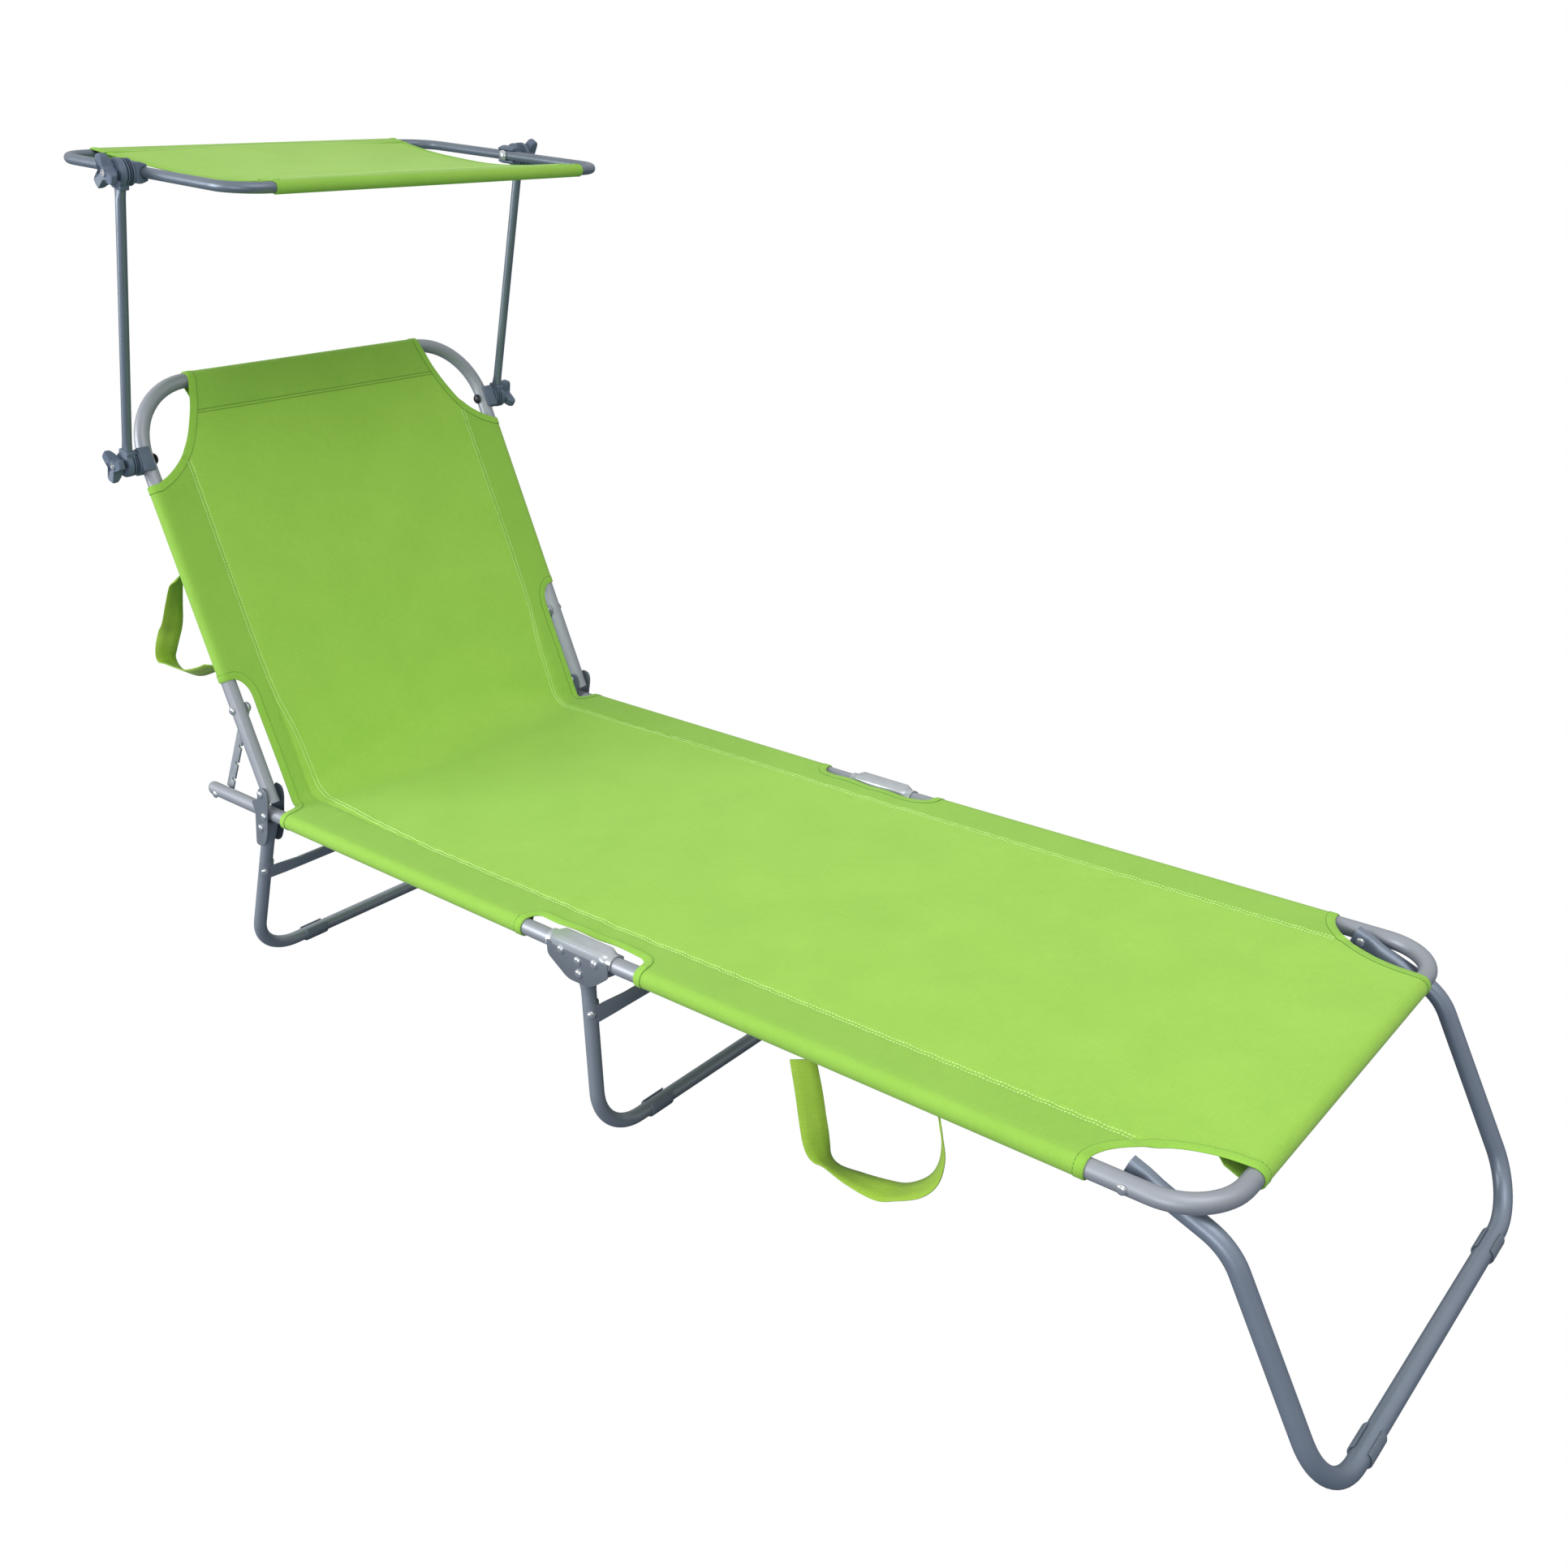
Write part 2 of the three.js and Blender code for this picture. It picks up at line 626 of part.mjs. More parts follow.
// Folding legs: a bent U on two pivots, with a brace bar, riveted, and glides on the floor bar
function legParts(name, pivotX, pivotZ, floorX, braceZ) {
  const lean = Math.atan2(floorX - pivotX, pivotZ - floorGap);
  const length = Math.hypot(floorX - pivotX, pivotZ - floorGap);
  const leg = new THREE.Group();
  leg.position.set(pivotX, 0, pivotZ);
  leg.rotation.y = -lean;
  lounger.add(leg);
  const corners = [
    v3(0, -railHalfWidth, -legTubeStart), v3(0, -railHalfWidth, -length),
    v3(0, railHalfWidth, -length), v3(0, railHalfWidth, -legTubeStart),
  ];
  const tabs = sides.map(([, side]) => {
    const y = side * railHalfWidth;
    const shape = new THREE.Shape();
    shape.moveTo(-legTabHalfWidth, 0);
    shape.lineTo(-legTabHalfWidth, -legTubeStart - legTabHalfWidth);
    shape.lineTo(legTabHalfWidth, -legTubeStart - legTabHalfWidth);
    shape.lineTo(legTabHalfWidth, 0);
    shape.absarc(0, 0, legTabHalfWidth, 0, Math.PI, false);
    return plate(shape, y - legTabHalfDepth, y + legTabHalfDepth);
  });
  const holes = sides.map(([, side]) => bore(0, 0, side * railHalfWidth));
  const bent = tube(corners, [legCornerRadius, legCornerRadius], legRadius);
  add(leg, `${name}_tube`, cut(join(bent, ...tabs), ...holes), 'leg');
  const braceX = legRadius + clearance;
  const braceDrop = (pivotZ - braceZ) / Math.cos(lean);
  const brace = brick(braceX, braceX + braceThickness, -railHalfWidth, railHalfWidth,
    -braceDrop - braceHeight / 2, -braceDrop + braceHeight / 2);
  add(leg, `${name}_brace`, brace, 'leg');
  for (const [word, side] of sides) {
    const y = side * railHalfWidth;
    add(leg, `${name}_rivet_${word}`, rivet(0, 0, y - plateOuter, y + plateOuter), 'rivet');
    add(lounger, `${name}_glide_${word}`, glide(floorX, side * glideStation, legRadius), 'glide');
  }
}

// A clip round the floor bar, open on top and flat where it stands
function glide(x, y, barRadius) {
  const inner = barRadius + clearance;
  const outer = inner + glideThickness;
  const low = y - glideLength / 2;
  const high = y + glideLength / 2;
  const ring = rodY(x, floorGap, outer, low, high, tubeSides * 2);
  const room = rodY(x, floorGap, inner, low - overrun, high + overrun, tubeSides * 2);
  const mouth = brick(x - glideMouth / 2, x + glideMouth / 2, low - overrun, high + overrun,
    floorGap, floorGap + outer + overrun);
  const floor = brick(x - outer * 2, x + outer * 2, low - overrun, high + overrun, -outer, 0);
  return cut(ring, room, mouth, floor);
}

legParts('head_leg', headPivotX, headPivotZ, headFootX, headBraceZ);
legParts('mid_leg', midPivotX, midPivotZ, midFootX, midBraceZ);

// Foot leg: pivots inside the rails and turns down past the end of the foot section
function footLeg() {
  const halfWidth = railHalfWidth - 2 * railRadius - clearance;
  const pivotZ = footLegPivotZ;
  const slope = Math.atan2(pivotZ - footLegCornerZ, footLegCornerX - footLegPivotX);
  const endX = footLegPivotX - footLegEnd * Math.cos(slope);
  const endZ = pivotZ + footLegEnd * Math.sin(slope);
  const half = (side) => [
    v3(endX, side * halfWidth, endZ), v3(footLegCornerX, side * halfWidth, footLegCornerZ),
    v3(footLegFloorX, side * halfWidth, floorGap),
  ];
  const corners = half(-1).concat(half(1).reverse());
  const radii = [footLegElbowRadius, legCornerRadius, legCornerRadius, footLegElbowRadius];
  const pins = sides.map(([, side]) => {
    const grip = [side * (railHalfWidth + railRadius), side * (halfWidth - railRadius - clearance)];
    return rivet(footLegPivotX, pivotZ, Math.min(...grip), Math.max(...grip));
  });
  return join(tube(corners, radii, railRadius), ...pins);
}

const footLegPivotZ = railHeight + (footLegPivotX - footPivotX) * Math.sin(radians(footTilt));
add(lounger, 'foot_leg_tube', footLeg(), 'leg');
for (const [word, side] of sides) {
  add(lounger, `foot_leg_glide_${word}`, glide(footLegFloorX, side * footGlideStation, railRadius), 'glide');
}

// A clamp: saddle on the tube, hub on the arm, bolt through both and a three-lobed knob
function saddle(side, tubeY, tubeRadius) {
  const far = hubFace - clearance;
  const body = brick(-saddleLength / 2, saddleLength / 2, side < 0 ? -far : tubeY, side < 0 ? tubeY : far,
    -saddleHeight / 2, saddleHeight / 2);
  const grooveRadius = (tubeRadius + clearance) * cornerShare;
  const groove = new THREE.CylinderGeometry(grooveRadius, grooveRadius, saddleLength * 2, tubeSides);
  groove.rotateZ(quarterTurn);
  groove.rotateX(quarterTurn / 3);
  groove.translate(0, tubeY, 0);
  return cut(body, groove, bore(0, 0, tubeY, boltRadius));
}

function clampHub(side, armTurn) {
  const near = side * hubFace;
  const far = side * (hubFace + hubDepth);
  const body = rodY(0, 0, hubRadius, Math.min(near, far), Math.max(near, far), tubeSides * 2);
  const socket = new THREE.CylinderGeometry(armRadius + clearance, armRadius + clearance, hubRadius * 2, tubeSides);
  socket.translate(0, hubRadius + armSeat - clearance, 0);
  socket.rotateX(quarterTurn);
  socket.rotateY(armTurn);
  socket.translate(0, side * armY, 0);
  const boltHole = rodY(0, 0, boltRadius + clearance, Math.min(near, far) - overrun, Math.max(near, far) + overrun);
  return cut(body, socket, boltHole);
}

function knob(side) {
  const lobes = 3;
  const shape = new THREE.Shape();
  for (let i = 0; i < knobSteps; i += 1) {
    const angle = (2 * Math.PI * i) / knobSteps;
    const swell = ((1 + Math.cos(lobes * angle)) / 2) ** 2;
    const radius = knobWaist + (knobRadius - knobWaist) * swell;
    const x = radius * Math.cos(angle);
    const z = radius * Math.sin(angle);
    if (i === 0) shape.moveTo(x, z);
    else shape.lineTo(x, z);
  }
  const near = side * knobFace;
  const far = side * (knobFace + knobDepth);
  const body = plate(shape, Math.min(near, far), Math.max(near, far));
  const wall = side * (boltEnd + clearance);
  const mouth = near - side * overrun;
  return cut(body, rodY(0, 0, boltRadius + clearance, Math.min(mouth, wall), Math.max(mouth, wall)));
}

const hubFace = railHalfWidth + railRadius + hubGap;
const armY = hubFace + hubDepth / 2;
const armSeat = boltRadius + armSeatGap;
const knobFace = hubFace + hubDepth + clearance;
const boltEnd = knobFace + knobDepth - boltEndInset;

function bolt(side, tubeY, tubeRadius) {
  const seat = Math.abs(tubeY) - tubeRadius - boltSeatGap;
  const profile = [
    [0, seat - boltHeadDepth], [boltHeadRadius, seat - boltHeadDepth / 2], [boltHeadRadius, seat],
    [boltRadius, seat], [boltRadius, boltEnd], [0, boltEnd],
  ];
  const geometry = new THREE.LatheGeometry(profile.map(([r, y]) => new THREE.Vector2(r, y)), pinSides);
  if (side < 0) geometry.rotateX(Math.PI);
  return geometry;
}

// Places that the clamps share: the lower axis on the backrest, the upper axis at the arms' top
const backTurn = radians(backAngle);
const lowerX = backPivotX - clampStation * Math.cos(backTurn);
const lowerZ = railHeight + backPivotRise + clampStation * Math.sin(backTurn);
const armTurn = radians(armLean);
const upperX = lowerX + armLength * Math.sin(armTurn);
const upperZ = lowerZ + armLength * Math.cos(armTurn);

const lowerClamp = new THREE.Group();
lowerClamp.position.set(lowerX, 0, lowerZ);
const upperClamp = new THREE.Group();
upperClamp.position.set(upperX, 0, upperZ);
const canopy = new THREE.Group();
canopy.rotation.y = radians(canopySlope);
upperClamp.add(canopy);
lounger.add(lowerClamp, upperClamp);

// The canopy frame is one tube bent round, its two ends meeting inside the rear sleeve
function canopyFrame() {
  const corners = [
    v3(-canopyRear, -canopyJointGap / 2, 0), v3(-canopyRear, -canopyHalfWidth, 0),
    v3(canopyFront, -canopyHalfWidth, 0),
    v3(canopyFront, canopyHalfWidth, 0), v3(-canopyRear, canopyHalfWidth, 0), v3(-canopyRear, canopyJointGap / 2, 0),
  ];
  const radii = [canopyCornerRadius, canopyCornerRadius, canopyCornerRadius, canopyCornerRadius];
  const holes = sides.map(([, side]) => bore(0, 0, side * canopyHalfWidth, boltRadius));
  return cut(tube(corners, radii, canopyTubeRadius), ...holes);
}

function canopyCloth() {
  const steps = 8;
  const inner = canopyTubeRadius + clearance;
  const half = [];
  for (let i = 0; i <= steps; i += 1) {
    const share = i / steps;
    const x = -canopyRear + (canopyRear + canopyFront) * share;
    half.push([x, canopyClothHalfWidth - canopyWaist * Math.sin(Math.PI * share)]);
  }
  const panel = sheet(bothSides(half), inner, clothThickness);
  return join(panel, sleeveAlongY(canopyClothHalfWidth, canopyFront, inner),
    sleeveAlongY(canopyClothHalfWidth, -canopyRear, inner));
}

add(canopy, 'canopy_frame', canopyFrame(), 'arm');
add(canopy, 'canopy_cloth', canopyCloth(), 'cloth');

for (const [word, side] of sides) {
  const lowerSaddle = saddle(side, side * railHalfWidth, railRadius);
  lowerSaddle.rotateY(backTurn);
  add(lowerClamp, `lower_saddle_${word}`, lowerSaddle, 'plastic');
  add(lowerClamp, `lower_bolt_${word}`, bolt(side, side * railHalfWidth, railRadius), 'bolt');
  add(lowerClamp, `lower_hub_${word}`, clampHub(side, armTurn), 'plastic');
  add(lowerClamp, `lower_knob_${word}`, knob(side), 'plastic');
  add(canopy, `upper_saddle_${word}`, saddle(side, side * canopyHalfWidth, canopyTubeRadius), 'plastic');
  add(upperClamp, `upper_bolt_${word}`, bolt(side, side * canopyHalfWidth, canopyTubeRadius), 'bolt');
  add(upperClamp, `upper_hub_${word}`, clampHub(side, armTurn + Math.PI), 'plastic');
  add(upperClamp, `upper_knob_${word}`, knob(side), 'plastic');
  const arm = new THREE.CylinderGeometry(armRadius, armRadius, armLength - 2 * armSeat, tubeSides);
  arm.rotateX(quarterTurn);
  arm.translate(0, side * armY, armLength / 2);
  arm.rotateY(armTurn);
  add(lowerClamp, `canopy_arm_${word}`, arm, 'arm');
}

// Puts the origin on the floor under the middle of the object
lounger.updateMatrixWorld(true);
const bounds = new THREE.Box3().setFromObject(lounger, true);
lounger.position.x = -(bounds.min.x + bounds.max.x) / 2;

export default lounger;
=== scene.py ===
import json
import math

import bmesh
import bpy
import numpy as np
from mathutils import Matrix, Vector
from mathutils.geometry import delaunay_2d_cdt


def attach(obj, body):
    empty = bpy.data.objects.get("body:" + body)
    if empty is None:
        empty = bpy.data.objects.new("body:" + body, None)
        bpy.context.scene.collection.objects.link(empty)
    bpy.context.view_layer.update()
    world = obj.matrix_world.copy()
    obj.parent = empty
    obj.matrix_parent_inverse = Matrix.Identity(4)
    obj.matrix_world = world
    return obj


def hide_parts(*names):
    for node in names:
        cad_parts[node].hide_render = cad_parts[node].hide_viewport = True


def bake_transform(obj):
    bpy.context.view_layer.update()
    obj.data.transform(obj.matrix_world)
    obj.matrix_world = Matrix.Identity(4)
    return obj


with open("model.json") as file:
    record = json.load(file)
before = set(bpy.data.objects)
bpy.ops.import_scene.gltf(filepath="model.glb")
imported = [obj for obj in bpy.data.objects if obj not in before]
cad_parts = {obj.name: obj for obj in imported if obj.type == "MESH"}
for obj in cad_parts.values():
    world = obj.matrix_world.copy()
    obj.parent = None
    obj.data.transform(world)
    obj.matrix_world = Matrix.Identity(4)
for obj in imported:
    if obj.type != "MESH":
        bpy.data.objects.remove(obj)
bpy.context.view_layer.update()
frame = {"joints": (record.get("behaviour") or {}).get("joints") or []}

# Units: the frame is in metres, and the sizes here are written in millimetres
MM = 0.001

# Sizes of the tubes and where they run; y is measured out from the middle of the lounger
RAIL_R = 9.5 * MM
RAIL_Y = 277 * MM
RAIL_Z = 254 * MM
BACK_TURN = math.radians(67.1)
FOOT_TILT = math.radians(0.73)
BACK_LENGTH = 539 * MM
BACK_CORNER = 90 * MM
FOOT_LENGTH = 708.5 * MM
FOOT_CORNER = 60 * MM
LEG_R = 8.5 * MM
LEG_CORNER = 64 * MM
FLOOR_BAR_Z = 11.8 * MM
CANOPY_R = 6.3 * MM
CANOPY_Y = 280 * MM
CANOPY_FRONT = 194 * MM
CANOPY_REAR = 187 * MM
CANOPY_CORNER = 45 * MM
CANOPY_SLOPE = math.radians(4.3)
CLOTH = 1.1 * MM

# The plates beside a rail, from its centre to their inner and outer faces
PLATE_IN = 11.5 * MM
PLATE_OUT = 13 * MM

# The clamps' hubs: the inner face, and the depth outwards
HUB_Y = 296 * MM
HUB_DEPTH = 15 * MM

# Places along the lounger, measured from the hinge plates' middle towards the foot end
HINGE_OFFSET = 5.5 * MM
SEAT_REAR = -147 * MM
SEAT_FRONT = 566 * MM
HEAD_FLOOR = -93.4 * MM
MID_FLOOR = 585.8 * MM
FOOT_FLOOR = 1430.5 * MM

JOINT = {j["name"]: Vector(j["pos_m"]) for j in frame["joints"]}
HINGE = JOINT["backrest_recline"]
X_ZERO = HINGE.x + HINGE_OFFSET
MID = JOINT["foot_fold"]
LOWER = JOINT["canopy_arm_swing"]
UPPER = JOINT["canopy_tilt"]
SIDES = (("right", -1), ("left", 1))


class Section:
    """A flat part of the lounger: an origin on the tube's centre, the way along it and the way out of it."""

    def __init__(self, origin, along, out):
        self.origin = Vector(origin)
        self.along = Vector(along)
        self.out = Vector(out)

    def at(self, along, y, out):
        return self.origin + self.along * along + Vector((0, y, 0)) + self.out * out


def tilted(origin, angle):
    """A section that runs towards the foot end and rises by the angle."""
    return Section(origin, (math.cos(angle), 0, math.sin(angle)), (-math.sin(angle), 0, math.cos(angle)))


BACK = Section(
    HINGE,
    (-math.cos(BACK_TURN), 0, math.sin(BACK_TURN)),
    (math.sin(BACK_TURN), 0, math.cos(BACK_TURN)),
)
SEAT = tilted((X_ZERO, 0, RAIL_Z), 0)
FOOT = tilted(MID, FOOT_TILT)
CANOPY = tilted(UPPER, -CANOPY_SLOPE)


# Camera, fitted to the photograph: its place from the hinge plates, its turns, and its lens in pixels
CAMERA_FROM_HINGE = Vector((1.7153, -1.3144, 1.1201))
CAMERA_AZIMUTH = math.radians(39.5426)
CAMERA_ELEVATION = math.radians(21.9060)
CAMERA_ROLL = math.radians(-0.5510)
PHOTO_PIXELS = 1932
FOCAL_PIXELS = 1961.563
SHIFT_X_PIXELS = 3.94
SHIFT_Y_PIXELS = -60.80
SENSOR_WIDTH_MM = 36


def add_camera():
    position = CAMERA_FROM_HINGE + Vector((X_ZERO, 0, 0))
    level = Vector((math.cos(CAMERA_AZIMUTH), math.sin(CAMERA_AZIMUTH), 0))
    behind = Vector((math.sin(CAMERA_AZIMUTH), -math.cos(CAMERA_AZIMUTH), 0))
    back = behind * math.cos(CAMERA_ELEVATION) + Vector((0, 0, math.sin(CAMERA_ELEVATION)))
    rise = back.cross(level)
    right = level * math.cos(CAMERA_ROLL) + rise * math.sin(CAMERA_ROLL)
    up = rise * math.cos(CAMERA_ROLL) - level * math.sin(CAMERA_ROLL)
    data = bpy.data.cameras.new("camera")
    data.sensor_fit = "HORIZONTAL"
    data.sensor_width = SENSOR_WIDTH_MM
    data.lens = FOCAL_PIXELS * SENSOR_WIDTH_MM / PHOTO_PIXELS
    data.shift_x = SHIFT_X_PIXELS / PHOTO_PIXELS
    data.shift_y = SHIFT_Y_PIXELS / PHOTO_PIXELS
    camera = bpy.data.objects.new("camera", data)
    rows = [[right[i], up[i], back[i], position[i]] for i in range(3)]
    camera.matrix_world = Matrix(rows + [[0, 0, 0, 1]])
    bpy.context.scene.collection.objects.link(camera)
    bpy.context.scene.camera = camera


add_camera()


# Materials
def linear(hex_colour):
    """An sRGB hex colour as linear red, green, blue and a full alpha."""
    values = [int(hex_colour[i:i + 2], 16) / 255 for i in (1, 3, 5)]
    return tuple(v / 12.92 if v <= 0.04045 else ((v + 0.055) / 1.055) ** 2.4 for v in values) + (1,)


def input_of(made, key):
    """An input by its name, with _ for a space, or by its number after an i."""
    if key[0] == "i" and key[1:].isdigit():
        return made.inputs[int(key[1:])]
    return made.inputs[key.replace("_", " ")]


def node(tree, kind, settings=None, **inputs):
    """Adds a node with its settings; each input is a value or another node's output socket."""
    made = tree.nodes.new(kind)
    for key, value in (settings or {}).items():
        setattr(made, key, value)
    for key, value in inputs.items():
        socket = input_of(made, key)
        if isinstance(value, bpy.types.NodeSocket):
            tree.links.new(value, socket)
        else:
            socket.default_value = value
    return made


def blank_material(name):
    material = bpy.data.materials.new(name)
    material.use_nodes = True
    tree = material.node_tree
    tree.nodes.clear()
    return material, tree


def finish_material(tree, shader):
    output = tree.nodes.new("ShaderNodeOutputMaterial")
    tree.links.new(shader.outputs[0], output.inputs["Surface"])


def mapping(tree, coordinate, scale=(1, 1, 1)):
    place = node(tree, "ShaderNodeTexCoord").outputs[coordinate]
    return node(tree, "ShaderNodeMapping", Vector=place, Scale=scale).outputs["Vector"]


def blotch(tree, vector, size, detail=3.0):
    """Soft noise whose patches measure about size metres."""
    return node(tree, "ShaderNodeTexNoise", Vector=vector, Scale=1 / size, Detail=detail).outputs["Fac"]


def mix_colour(tree, factor, low, high):
    return node(tree, "ShaderNodeMix", {"data_type": "RGBA"}, i0=factor, i6=low, i7=high).outputs[2]


def arithmetic(tree, operation, first, second):
    return node(tree, "ShaderNodeMath", {"operation": operation}, i0=first, i1=second).outputs[0]


def span(tree, value, low, high):
    """A 0 to 1 value stretched to run from low to high."""
    return node(tree, "ShaderNodeMapRange", Value=value, i3=low, i4=high).outputs[0]


def bumps(tree, height, strength, depth):
    return node(tree, "ShaderNodeBump", Strength=strength, Distance=depth, Height=height).outputs[0]


def painted_tube(name, light, dark, roughness):
    """Powder-coated steel tube: an even satin skin with a very fine orange peel and faint cloudiness.
    Half metallic, it catches the studio's light along the tube as the real coat's flakes do."""
    material, tree = blank_material(name)
    place = mapping(tree, "Object")
    cloud = blotch(tree, place, size=60 * MM)
    peel = blotch(tree, place, size=0.9 * MM, detail=1.0)
    shader = node(
        tree, "ShaderNodeBsdfPrincipled",
        Base_Color=mix_colour(tree, cloud, linear(light), linear(dark)),
        Metallic=0.4,
        Normal=bumps(tree, peel, strength=0.12, depth=0.05 * MM),
        Roughness=span(tree, cloud, roughness - 0.04, roughness + 0.06),
        Coat_Weight=0.15,
        Coat_Roughness=0.25,
    )
    finish_material(tree, shader)
    return material


ROLLED_STRETCH = (1, 1, 0.06)      # rolling lines are long in z and short across it


def zinc_sheet(name, light, dark, roughness, metallic=0.5):
    """Zinc-plated pressed steel: a cool grey metal with soft patches and fine rolling lines."""
    material, tree = blank_material(name)
    patch = blotch(tree, mapping(tree, "Object"), size=14 * MM)
    rolled = blotch(tree, mapping(tree, "Object", ROLLED_STRETCH), size=0.6 * MM)
    shader = node(
        tree, "ShaderNodeBsdfPrincipled",
        Base_Color=mix_colour(tree, patch, linear(light), linear(dark)),
        Metallic=metallic,
        Normal=bumps(tree, rolled, strength=0.15, depth=0.05 * MM),
        Roughness=span(tree, patch, roughness - 0.06, roughness + 0.1),
    )
    finish_material(tree, shader)
    return material


def moulded_plastic(name, light, dark):
    """Glass-filled nylon moulding: dull blue-grey with a fine spark-eroded grain."""
    material, tree = blank_material(name)
    place = mapping(tree, "Object")
    cloud = blotch(tree, place, size=12 * MM)
    grain = blotch(tree, place, size=0.7 * MM, detail=2.0)
    shader = node(
        tree, "ShaderNodeBsdfPrincipled",
        Base_Color=mix_colour(tree, cloud, linear(light), linear(dark)),
        Normal=bumps(tree, grain, strength=0.25, depth=0.08 * MM),
        Roughness=span(tree, grain, 0.42, 0.6),
    )
    finish_material(tree, shader)
    return material


def thread_bands(tree, place, direction, thread):
    """Bands one thread apart, across the cloth or along it."""
    settings = {"wave_type": "BANDS", "bands_direction": direction}
    bands = node(tree, "ShaderNodeTexWave", settings, Vector=place, Scale=math.pi / 10 / thread,
                 Distortion=0.6, Detail=1.0)
    return bands.outputs["Fac"]


SLUB_STRETCH = 0.08                # a slub is this much shorter across its thread than along it


def woven_cloth(name, light, dark, thread, rough=0.85):
    """Plain-woven polyester canvas: matt green with crossing threads, here drawn wider apart than
    the real 0.7 mm so that they show, thread slubs, a faint dust of lighter fuzz at grazing angles, and
    painted shade where it is double: a deeper tone for the light that single cloth lets through."""
    material, tree = blank_material(name)
    place = mapping(tree, "UV")
    warp = thread_bands(tree, place, "X", thread)
    weft = thread_bands(tree, place, "Y", thread)
    weave = arithmetic(tree, "MULTIPLY", warp, weft)
    slub_along = blotch(tree, mapping(tree, "UV", (1, SLUB_STRETCH, 1)), size=1.6 * MM)
    slub_across = blotch(tree, mapping(tree, "UV", (SLUB_STRETCH, 1, 1)), size=1.6 * MM)
    both_slubs = arithmetic(tree, "ADD", slub_along, slub_across)
    slub = arithmetic(tree, "MULTIPLY", both_slubs, 0.5)
    cloud = blotch(tree, place, size=90 * MM)
    tone = node(tree, "ShaderNodeMix", {"data_type": "FLOAT"}, i0=0.35, i2=slub, i3=cloud).outputs[0]
    threads = mix_colour(tree, span(tree, tone, -0.4, 1.4), linear(dark), linear(light))
    woven = mix_colour(tree, span(tree, weave, 0.12, 0.0), threads, linear(dark))
    # Painted shade: the base colour darkens towards deep green where the cloth is double
    layers = node(tree, "ShaderNodeAttribute", {"attribute_name": "layers"}).outputs["Fac"]
    shade = arithmetic(tree, "MULTIPLY", layers, 0.16)
    height = arithmetic(tree, "ADD", weave, slub)
    shader = node(
        tree, "ShaderNodeBsdfPrincipled",
        Base_Color=mix_colour(tree, shade, woven, linear("#3F7A2C")),
        Normal=bumps(tree, height, strength=0.35, depth=0.25 * MM),
        Roughness=rough,
        Sheen_Weight=0.12,
        Sheen_Roughness=0.5,
        Specular_IOR_Level=0.25,
    )
    finish_material(tree, shader)
    return material


def sewing_thread(name, light, dark):
    """Twisted polyester sewing thread: a little glossier than the cloth that it holds."""
    material, tree = blank_material(name)
    twist = blotch(tree, mapping(tree, "Object"), size=0.8 * MM)
    colour = mix_colour(tree, twist, linear(light), linear(dark))
    shader = node(tree, "ShaderNodeBsdfPrincipled", Base_Color=colour, Roughness=0.55)
    finish_material(tree, shader)
    return material


# Finishes of this lounger; the foot leg is darker than the other legs only because the photograph shows it
# so: its darker blue-grey is painted shade
PAINT = {
    "rail": painted_tube("silver_powder_coat", "#A9AEB6", "#989EA7", 0.46),
    "leg": painted_tube("grey_powder_coat", "#A2ABB7", "#8F99A6", 0.4),
    # A darker copy of the leg paint: painted shade and reflection on the foot leg
    "foot_leg": painted_tube("blue_grey_powder_coat_painted_shade", "#8B96A6", "#798597", 0.38),
    "arm": painted_tube("slate_powder_coat", "#788492", "#687481", 0.38),
    "zinc": zinc_sheet("zinc_plated_sheet", "#949CA5", "#7E8791", 0.36),
    # A paler copy of the zinc: painted highlight on the bracket roofs, where the top of the same folded sheet
    # catches the overhead light; the struts are drawn in it too
    "pale_zinc_and_highlight": zinc_sheet("pale_zinc_sheet_painted_highlight", "#CBD1D6", "#B4BBC2", 0.3),
    # A darker copy of the zinc: painted shade on the inner hinge plates
    "shaded_zinc": zinc_sheet("zinc_plated_sheet_painted_shade", "#5F6B78", "#4B5763", 0.42),
    "bright": zinc_sheet("bright_steel_rivet", "#E6E9EC", "#CDD2D6", 0.16, metallic=0.8),
    "bolt": zinc_sheet("black_oxide_bolt", "#3A3E44", "#24272B", 0.35),
    "plastic": moulded_plastic("blue_grey_nylon", "#66758A", "#566478"),
    "glide": moulded_plastic("grey_nylon_clip", "#76818F", "#67727F"),
    "cloth": woven_cloth("green_polyester_canvas", "#ACDD5C", "#94C84A", 1.4 * MM),
    "hem": woven_cloth("green_polyester_binding", "#A3D858", "#8CC244", 1.2 * MM),
    "strap": woven_cloth("green_polyester_webbing", "#B2D854", "#86B02E", 1.8 * MM, rough=0.8),
    "thread": sewing_thread("pale_sewing_thread", "#DDF7AE", "#C6EC8E"),
    # Dark thread: real stitching, darkened to paint the shade in the groove beside each hem
    "dark_thread_and_groove_shade": sewing_thread("dark_sewing_thread_and_groove_shade", "#6E9F38", "#5C8A2C"),
}


# Small sums
def ease(value, low, high):
    """0 below low, 1 above high, and a smooth rise between them."""
    t = min(max((value - low) / (high - low), 0), 1)
    return t * t * (3 - 2 * t)


def scaled(shares, width, height, x_start=0, y_start=0):
    """Points given as shares of a width and a height, measured from a start."""
    return [(x_start + width * a, y_start + height * b) for a, b in shares]


def turned(radius, angle):
    """A point at a radius and an angle from the first axis."""
    return radius * math.cos(angle), radius * math.sin(angle)


